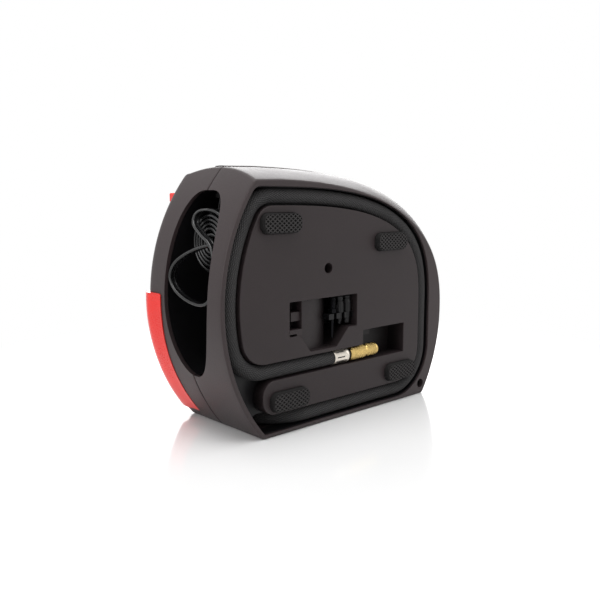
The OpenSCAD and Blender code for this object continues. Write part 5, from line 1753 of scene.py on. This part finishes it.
    def notch_fittings(self, shop: Workshop) -> None:
        """The rolled surface, latch pocket and adapter rack in the notch, and the nest's ledge."""
        f, (u0, u1), (z0, z1) = FORM, self.notch_u, self.notch_z
        flush, deep, left = f.panel_d + 0.05, self.notch_d + 0.4, u0 - 1
        curve = [(left, deep), (left, flush), (31, flush), (31, 3.7), (31.1, 4.0)]
        for a in (math.radians(90 * i / 32) for i in range(1, 33)):
            curve.append((mix(31, 66, math.sin(a)), mix(self.notch_d, 4, math.cos(a))))
        curve.append((66, deep))
        roll = loft("notch_roll", [[f.at(u, z, d) for u, d in curve] for z in (45, 80)])
        combine(roll, [slab("bound", self.notch, [(0, 0.02), (30, 0.02)])], "INTERSECT")
        latch_z, bar_z, top_z = 61.3, 66.2, 71.5
        pockets = (
            (9.4, latch_z, bar_z, 9), (9.4, top_z, z1 + 1, 9), (2.2, latch_z, z1, 9),
            (9.4, latch_z, z1, f.panel_d + 1.6), (5.6, z0 - 1, z0 + 1.3, 7),
        )  # fmt: skip
        cuts = [block("pocket", rectangle(left, u0 + w, a, b), -1, d) for w, a, b, d in pockets]
        combine(roll, cuts)
        shop.dress(smooth(ease_edges(roll, 0.25, 2, 50), 30), Finish.PANEL)
        rack = block("notch_rack", rectangle(57, u1 - 0.02, 63, 66.5), 4, self.notch_d)
        for u, d, r in self.adapters:
            w = r + 0.04
            stem = turned("stem", f.at(u, 62, d), UP, [(w, 0), (w, 6)], 32)
            combine(rack, [stem, block("way", rectangle(u - w, u + w, 62, 68), -1, d)])
        shop.dress(smooth(ease_edges(rack, 0.25, 2, 50), 30), Finish.BLACK)
        near = self.nest_u[0]
        ledge = block("nest_ledge", rectangle(near, near + 15, 48, 53.45), 9, self.nest_d)
        shop.dress(smooth(ease_edges(ledge, 0.3, 2, 50), 30), Finish.PANEL)

    def front_cover(self, shop: Workshop, face: "ControlFace") -> None:
        """The front shell: from the seam over the crest to the rounded front edge."""
        f = FORM
        start = f.seam_d + f.seam_gap / 2
        profile = [(start, 0.7), (start + 0.1, 0.35), (start + 0.35, 0.1), (start + 0.5, 0)]
        profile += [(mix(start + 0.5, f.crest_d, i / 3), 0) for i in range(1, 4)]
        profile += [(mix(f.crest_d, f.shoulder_d, i / 8), 0) for i in range(1, 9)]
        for i in range(1, 13):
            a, k = math.radians(7.5 * i), 2 / 2.5
            out, back = math.sin(a) ** k, max(0.0, math.cos(a)) ** k
            profile.append((f.shoulder_d + f.front_r * out, f.front_r * (1 - back)))
        cover = skin("front_cover", profile)
        inner = [(start - 2, f.wall), (f.crest_d, f.wall), (56, f.wall), (f.shoulder_d, f.wall)]
        r = f.front_r - f.wall
        for a in (math.radians(15 * i) for i in range(1, 7)):
            inner.append((f.shoulder_d + r * math.sin(a), f.wall + r * (1 - math.cos(a))))
        combine(cover, [skin("hollow", inner), self.mouth_cut(), *face.openings()])
        self.ease_mouth(cover)
        shop.dress(smooth(cover, 38), Finish.SHELL, "case", ["front_shell"])

    def tongue(self, shop: Workshop) -> None:
        """The tongue in the joint of the shells, which keeps light out; a real part, coloured black
        as painted shade so that the seam reads dark.
        """
        mid, deep = FORM.seam_d, FORM.wall - 0.02
        ring = skin("seam_tongue", [(mid - 0.5, 0.9), (mid + 0.5, 0.9)])
        combine(ring, [skin("inside", [(mid - 1, deep), (mid + 1, deep)]), self.mouth_cut()])
        shop.dress(smooth(ring, 38), Finish.BLACK)

    def strip(self, shop: Workshop) -> None:
        """The slim raised strip along the crest."""
        f, d0, d1, t = FORM, 41.0, 50.0, 0.8
        edge = [
            (d0, -0.05), (d0 + 0.15, -t + 0.4), (d0 + 0.6, -t + 0.12), (d0 + 2.2, -t + 0.03),
            ((d0 + d1) / 2, -t), (d1 - 2.2, -t + 0.03), (d1 - 0.6, -t + 0.12),
            (d1 - 0.15, -t + 0.4), (d1, -0.05), ((d0 + d1) / 2, -0.05),
        ]  # fmt: skip
        rings = []
        for i in range(-6, 61):
            q = mix(87, 87 - 87 * 14 / 18, max(0, i) / 60)
            ring = []
            for d, inwards in edge:
                top, reach, n = f.crown(d)
                p = oval_point((0, f.round_mid), reach, top - f.round_mid, n, q, -inwards)
                if i < 0:
                    high = top - f.corner_drop
                    corner = (f.side_u(high), high - inwards)
                    p = tuple(mix(a, b, -i / 6 * 0.88) for a, b in zip(p, corner))
                ring.append(f.at(p[0], p[1], d))
            rings.append(ring)
        shop.dress(smooth(loft("crest_strip", rings), 40), Finish.SHELL, "case", ["top_strip"])

    def accent(self, shop: Workshop) -> None:
        """The red corner piece round the lower front of the compartment side."""
        f, t, fr = FORM, FORM.accent_t, FORM.front_r
        r0, c = f.side_r + 0.06, f.side_r - f.front_r
        profile = [(r0, 54.5), (r0 + 0.5, 54.5), (r0 + 0.6, 60.5), (f.side_r + 1.5, 64)]
        profile += [(f.side_r + 2.5, 67)]
        profile += arc((c, f.shoulder_d), fr + t, 4, 78, 14)
        profile += [(c - 2, f.front_d + t - 0.2), (f.side_r - 36, f.front_d + 1.6)]
        profile += [(f.side_r - 36, f.front_d + 0.05), (c, f.front_d + 0.05)]
        profile += arc((c, f.shoulder_d), fr + 0.06, 84, 6, 12)
        mid = Vector((f.base_left - f.side_cu, 0, f.side_mid))
        rings = []
        for i in range(73):
            a = mix(-42, 8, i / 72)
            thin = mix(0.35, 1.0, min(1.0, max(0.0, (a + 38) / 34))) if a < 0 else 1.0
            ring = []
            for r, d in profile:
                out, proud = max(0.0, r - f.side_r), max(0.0, d - f.front_d)
                ring.append((r - out * (1 - thin), f.back_y - (d - proud * (1 - thin))))
            q = math.radians(a)
            rings.append([mid + Vector((r * math.cos(q), y, r * math.sin(q))) for r, y in ring])
        accent = loft("red_corner", rings)
        z0, z1, d0, d1 = 6.0, 82.0, 56.5, 59.6
        low = [(-50, z0), (32, z0), *arc((-90, 110), 150, 316, 350, 20), (-50, z1 + 4)]
        side = [
            (d0, z0), (100, z0), (100, z1), *arc((d1 + 2, z1 - 2), 2, 90, 180, 8),
            *spline_flat([(d1, 66), (59.8, 50), (59.4, 36), (58.2, 20)], 4),
        ]  # fmt: skip
        front = block("bound", low, 0, 100)
        beside = side_slab("bound", lambda q: side, [(0, 0), (150, 0)])
        ease_edges(combine(accent, [front, beside], "INTERSECT"), 0.35, 3, 45)
        shop.dress(smooth(accent, 36), Finish.RED, "case", ["red_accent"])

    def foot_edge(self, c: Point, t: float = 0, k: int = 8) -> list[Point]:
        """Edge of the foot at c, grown by t."""
        return rounded_box(c, *self.foot, self.foot_r, t, k)

    def feet_pads(self, shop: Workshop) -> None:
        """Four rubber feet with a lattice of small pits."""
        sole = [(1.35, 0), (-1.75, 0), (-2.05, -0.1), (-2.2, -0.4)]
        pads = []
        for c in self.feet:
            pads += [slab("foot", lambda t: self.foot_edge(c, t), sole), self.lattice(c)]
        feet = smooth(join("rubber_feet_pads", pads), 30)
        shop.dress(feet, Finish.FOOT, "case", ["rubber_feet"])

    def lattice(self, c: Point) -> Piece:
        """The raised lattice of one foot, whose cells are rhombs with a pit in each."""
        a, b, top = 1.7, 1.28, -FORM.foot_h
        data, faces = [], []
        edge = self.foot_edge(c, -0.55, 6)
        for i, j in ((i, j) for j in range(-5, 6) for i in range(-9, 10)):
            p = (c[0] + i * a, c[1] + j * b)
            cell = clip([(p[0] + x * a, p[1] + y * b) for x, y in DIAMOND], edge)
            if (i + j) % 2 or len(cell) < 3 or area(cell) < 0.02:
                continue
            mid = [sum(q[m] for q in cell) / len(cell) for m in (0, 1)]
            k, n = len(data), len(cell)
            for f, d in ((1.0, top), (0.7, top), (0.55, -2.25)):
                data += [FORM.at(mix(mid[0], x, f), mix(mid[1], z, f), d) * MM for x, z in cell]
            for g, m in ((g, m) for g in (k, k + n) for m in range(n)):
                faces.append((g + m, g + (m + 1) % n, g + n + (m + 1) % n, g + n + m))
            faces.append(tuple(k + 2 * n + m for m in range(n)))
        mesh = bpy.data.meshes.new("lattice")
        mesh.from_pydata(data, [], faces)
        obj = put("lattice", mesh)
        with editing(obj):
            bpy.ops.mesh.remove_doubles(threshold=5e-6)
            pick_edges(obj, is_open)
            bpy.ops.mesh.extrude_edges_move(TRANSFORM_OT_translate={"value": (0, -0.9 * MM, 0)})
            face_outwards()
        return obj

    def tray(self, shop: Workshop) -> None:
        """The compartment's tray, with the boss of its grommet and the plug's well."""
        f, wall = FORM, 1.5
        back = f.floor_d + 0.1

        def body(t: float, x0: float) -> Piece:
            """The tray's space, grown by t, from X x0 out."""
            x1, d0, d1 = f.tray_in + 60, back + wall - t, 38 + t
            whole = side_slab("tray", lambda q: f.mouth(t), [(x0, 0), (x1, 0)])
            middle = Vector(((x0 + f.tray_in + 60) / 2, f.back_y - (d0 + d1) / 2, 44 - t / 2))
            well = slab_box("well", middle, (x1 - x0, d1 - d0, 40 + t))
            combine(whole, [well], "UNION")
            middle = Vector((f.tray_in, f.back_y - d0 - 45, 80))
            return combine(whole, [slab_box("keep", middle, (300, 90, 200))], "INTERSECT")

        r = f.side_r - f.wall - 0.3
        centre = Vector((f.base_left - f.side_cu, 0, f.side_mid))
        core = turned("core", centre, Vector((0, 1, 0)), [(r, -100), (r, 100)], 240)
        tray = combine(body(wall, f.tray_in - wall), [core], "INTERSECT")
        exit_at = Vector((f.base_left - 8.2, f.back_y - 46.3, 0))
        boss = turned("boss", exit_at, UP, [(6.4, 139.5), (6.4, 144.7), (6.1, 145)], 40)
        combine(tray, [boss], "UNION")
        hole = turned("hole", exit_at, UP, [(4.52, 130), (4.52, 160)], 40)
        named(combine(tray, [body(0, f.tray_in), hole]), "lead_tray_liner")
        shop.dress(smooth(tray, 30), Finish.BLACK, "case", ["lead_tray"])

    def build(self, shop: Workshop, face: "ControlFace") -> None:
        """Makes every piece of the case."""
        self.rear_cover(shop)
        self.groove_shade_sheet(shop)
        self.back_panel(shop)
        self.notch_fittings(shop)
        self.front_cover(shop, face)
        self.tongue(shop)
        self.strip(shop)
        self.accent(shop)
        self.feet_pads(shop)
        self.tray(shop)
        shop.refine("case_screws", Finish.OXIDE, edge=0.15)


# ---------------------------------------------------------------- adapters


@dataclass
class Adapters:
    """The ball needle and the two nozzles in the rack."""

    rack_z: float = 66.5
    places: tuple[Point, ...] = ((62.6, 7), (69, 7), (75.4, 7))

    def build(self, shop: Workshop) -> None:
        """Makes the three adapters."""
        n, s, w = (FORM.at(u, self.rack_z, d) for u, d in self.places)

        def thread(angle: float, h: float) -> float:
            """Depth of a rolled thread."""
            if not 3.3 < h < 9.9:
                return 0.0
            return 0.14 * math.sin(math.radians(angle) + h * 2 * math.pi / 0.8) - 0.14

        def flutes(angle: float, h: float) -> float:
            """Depth of the grip's flutes."""
            return -0.16 * (math.sin(math.radians(angle * 14)) > 0) * (0.6 < h < 6.2)

        stem = [(0.3, -16), (0.85, -15.9), (1.1, -15.5), (1.1, 0.05), (2.2, 0.05)]
        screw = [(2.0, 2.9), (2.0, 3.2), *((2.4, mix(3.4, 9.8, i / 50)) for i in range(51))]
        screw += [(2.1, 10.4), (0.8, 10.4), (0.8, 8)]
        parts = [
            turned("needle_stem", n, UP, stem, 24),
            turned("needle_hex", n, UP, [(2.6, 0.05), (2.95, 0.3), (2.95, 2.8), (2.6, 3)], 6),
            turned("needle_thread", n, UP, screw, 28, thread),
        ]
        needle = smooth(join("ball_needle_turned", parts), 30)
        shop.dress(needle, Finish.OXIDE, "needle", ["ball_needle"])
        slim = [
            (0.5, -6.8), (0.5, -7.5), (1.1, -7.5), (1.25, -7.2), (1.55, -5.6), (1.4, -5.4),
            (1.85, -4.1), (1.9, -3.8), (1.9, 0.05), (2.8, 0.05), (2.9, 0.3), (2.9, 0.9),
            (2.9, 4.8), (2.9, 5.2), (2.5, 6.4), (2.5, 7.2), (2.3, 7.4), (2.3, 7.9),
            (2.5, 8.1), (2.5, 10.1), (2.3, 10.4), (1.6, 10.4), (1.6, 7),
        ]  # fmt: skip
        wide = [
            (1.2, -6.5), (1.2, -7.5), (1.9, -7.5), (2.1, -7.2), (2.3, -5.4), (2.15, -5.2),
            (2.45, -4.1), (2.5, -3.8), (2.5, 0.05), (3, 0.05), (3.1, 0.3), (3.1, 0.9),
            (3.1, 6), (3.1, 6.4), (2.7, 7.5), (2.7, 8.2), (2.5, 8.4), (2.5, 8.8),
            (2.7, 9), (2.7, 10.1), (2.5, 10.4), (1.8, 10.4), (1.8, 7),
        ]  # fmt: skip
        for kind, at, profile in (("slim", s, slim), ("wide", w, wide)):
            cone = smooth(turned(f"{kind}_nozzle_cone", at, UP, profile, 56, flutes), 26)
            shop.dress(cone, Finish.BLACK, f"{kind}_adapter", [f"{kind}_nozzle"])


# ---------------------------------------------------------------- front


@dataclass
class ControlFace:
    """The control panel, display, keys, switch and work light on the front."""

    panel_c: Point = (80.0, 86.0)
    window_c: Point = (80.0, 100.0)
    key_z: float = 64.0
    key_r: float = 6.5
    key_step: float = 24.0
    lens_r: float = 16.5
    switch_c: Point = (5.0, 96.0)
    light_c: Point = (-0.8, 138.5)

    def keys(self) -> dict[str, Point]:
        """Places of the three keys."""
        steps = enumerate(("up", "unit", "down"), -1)
        return {name: (self.panel_c[0] + k * self.key_step, self.key_z) for k, name in steps}

    def openings(self) -> list[Piece]:
        """Cutters of the front shell's openings."""
        f = FORM
        inner, outer = f.front_d - f.wall - 1, f.front_d + 1
        holes = [
            (rounded_box(self.window_c, 42, 28, 1), inner),
            (rounded_box(self.switch_c, 12.3, 20.3, 0.3), inner),
            (rounded_box(self.light_c, 16.3, 6.3, 1.2), f.shoulder_d - 6),
            (arc(f.lamp_c, self.lens_r + 0.15, 0, 354.375, 63), 65),
        ]
        holes += [(arc(c, self.key_r + 0.15, 0, 352.5, 47), inner) for c in self.keys().values()]
        return [block("cut", points, start, outer) for points, start in holes]

    def build(self, shop: Workshop) -> None:
        """Makes the front's pieces."""
        for node, finish, edge in (
            ("control_panel", Finish.GLOSS, 0.5),
            ("display_window", Finish.WINDOW, 0.2),
            ("switch_body", Finish.BLACK, 0.25),
            ("lamp_bezel", Finish.DARK, 0.4),
            ("lamp_lens", Finish.LENS, 0.4),
        ):
            shop.refine(node, finish, edge=edge)
        shop.refine("switch_rocker", Finish.RED, "rocker", 0.35)
        shop.refine("light_button", Finish.RED, "key_light", 0.4)
        for name, c in self.keys().items():
            key = shop.refine(f"button_{name}", Finish.KEY, f"key_{name}", 0.7)
            self.mark(shop, key, name, c)
        self.digits(shop)

    def mark(self, shop: Workshop, key: Piece, name: str, c: Point) -> None:
        """The inlaid sign of a key: plus, dot or minus."""
        bars = {"up": ((4.4, 1.1), (1.1, 4.4)), "unit": ((2.6, 2.6),), "down": ((4.4, 1.1),)}
        face = FORM.front_d + FORM.key_proud
        signs = []
        for w, h in bars[name]:
            size = (c, w, h, min(w, h) * 0.5 - 0.05)
            combine(key, [block("recess", rounded_box(*size, 0, 4), face - 0.3, face + 1)])
            signs.append(block("sign", rounded_box(*size, -0.03, 4), face - 0.5, face - 0.08))
        sign = named(combine(signs[0], signs[1:], "UNION"), f"key_sign_{name}")
        smooth(key, 34)
        shop.dress(smooth(sign, 34), Finish.INK, f"key_{name}")

    def digits(self, shop: Workshop) -> None:
        """The display's reading, in figures of seven strokes with a point."""
        face = FORM.back_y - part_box("display")[0][1] / MM
        w, h, line = 3.2, 5.2, 1.3
        strokes = {"a": (0, h), "g": (0, 0), "d": (0, -h), "b": (w, h / 2), "c": (w, -h / 2)}
        strokes |= {"f": (-w, h / 2), "e": (-w, -h / 2)}
        bars = [(6, -h, line, line)]
        for x, lit in ((-12, "abcdg"), (0, "acdfg"), (12, "abcdef")):
            for sx, sz in (strokes[key] for key in lit):
                size = (2 * w - line, line) if sx == 0 else (line, h - line)
                bars.append((x + sx, sz, *size))
        marks = []
        for x, z, bw, bh in bars:
            points = rounded_box((self.window_c[0] - x, self.window_c[1] + z), bw, bh, 0.3, 0, 3)
            marks.append(block("stroke", points, face - 0.05, face + 0.06))
        shop.dress(join("display_digits", marks), Finish.BLACK)


# ---------------------------------------------------------------- inside


@dataclass
class Inside:
    """Pieces inside the case, which keep their CAD shape."""

    finishes: dict[str, Finish] = field(
        default_factory=lambda: {
            "hose_nipple": Finish.BRASS,
            "plug_spring": Finish.SPRING,
            "plug_fuse": Finish.FUSE,
            "motor_can": Finish.ZINC,
            "motor_end_cap": Finish.BLACK,
            "motor_magnets": Finish.MAGNET,
            "motor_brushes": Finish.CARBON,
            "motor_bearings": Finish.BRONZE,
            "motor_rotor": Finish.COPPER,
            "motor_shaft": Finish.SPRING,
            "pinion": Finish.BRASS,
            "motor_screws": Finish.ZINC,
            "pump_frame": Finish.ZINC,
            "crank_gear": Finish.GEAR,
            "crank_axle": Finish.SPRING,
            "connecting_rod": Finish.CAST,
            "piston": Finish.CAST,
            "piston_ring": Finish.SEAL,
            "wrist_pin": Finish.SPRING,
            "pump_cylinder": Finish.CAST,
            "cylinder_head": Finish.CAST,
            "head_bolts": Finish.OXIDE,
            "outlet_valve": Finish.BRONZE,
            "air_pipe": Finish.PIPE,
            "circuit_board": Finish.BOARD,
            "display": Finish.LCD,
            "lamp_reflector": Finish.MIRROR,
            "lamp_board": Finish.LEDS,
        }
    )

    def build(self, shop: Workshop) -> None:
        """Gives each kept CAD node its finish."""
        for node, finish in self.finishes.items():
            shop.coat(shop.nodes[node], finish)
        log.info("%d CAD nodes keep their shape", len(self.finishes))


def main() -> None:
    """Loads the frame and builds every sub-assembly in order."""
    logging.basicConfig(level=logging.INFO, format="%(name)s: %(message)s")
    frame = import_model()
    studio = Studio()
    studio.camera()
    shop = Workshop(frame["nodes"])
    HoseRun().build(shop)
    LeadRun().build(shop)
    face = ControlFace()
    Case().build(shop, face)
    Adapters().build(shop)
    face.build(shop)
    Inside().build(shop)
    studio.build()
    log.info("%d pieces dressed", shop.count)


if __name__ == "__main__":
    main()
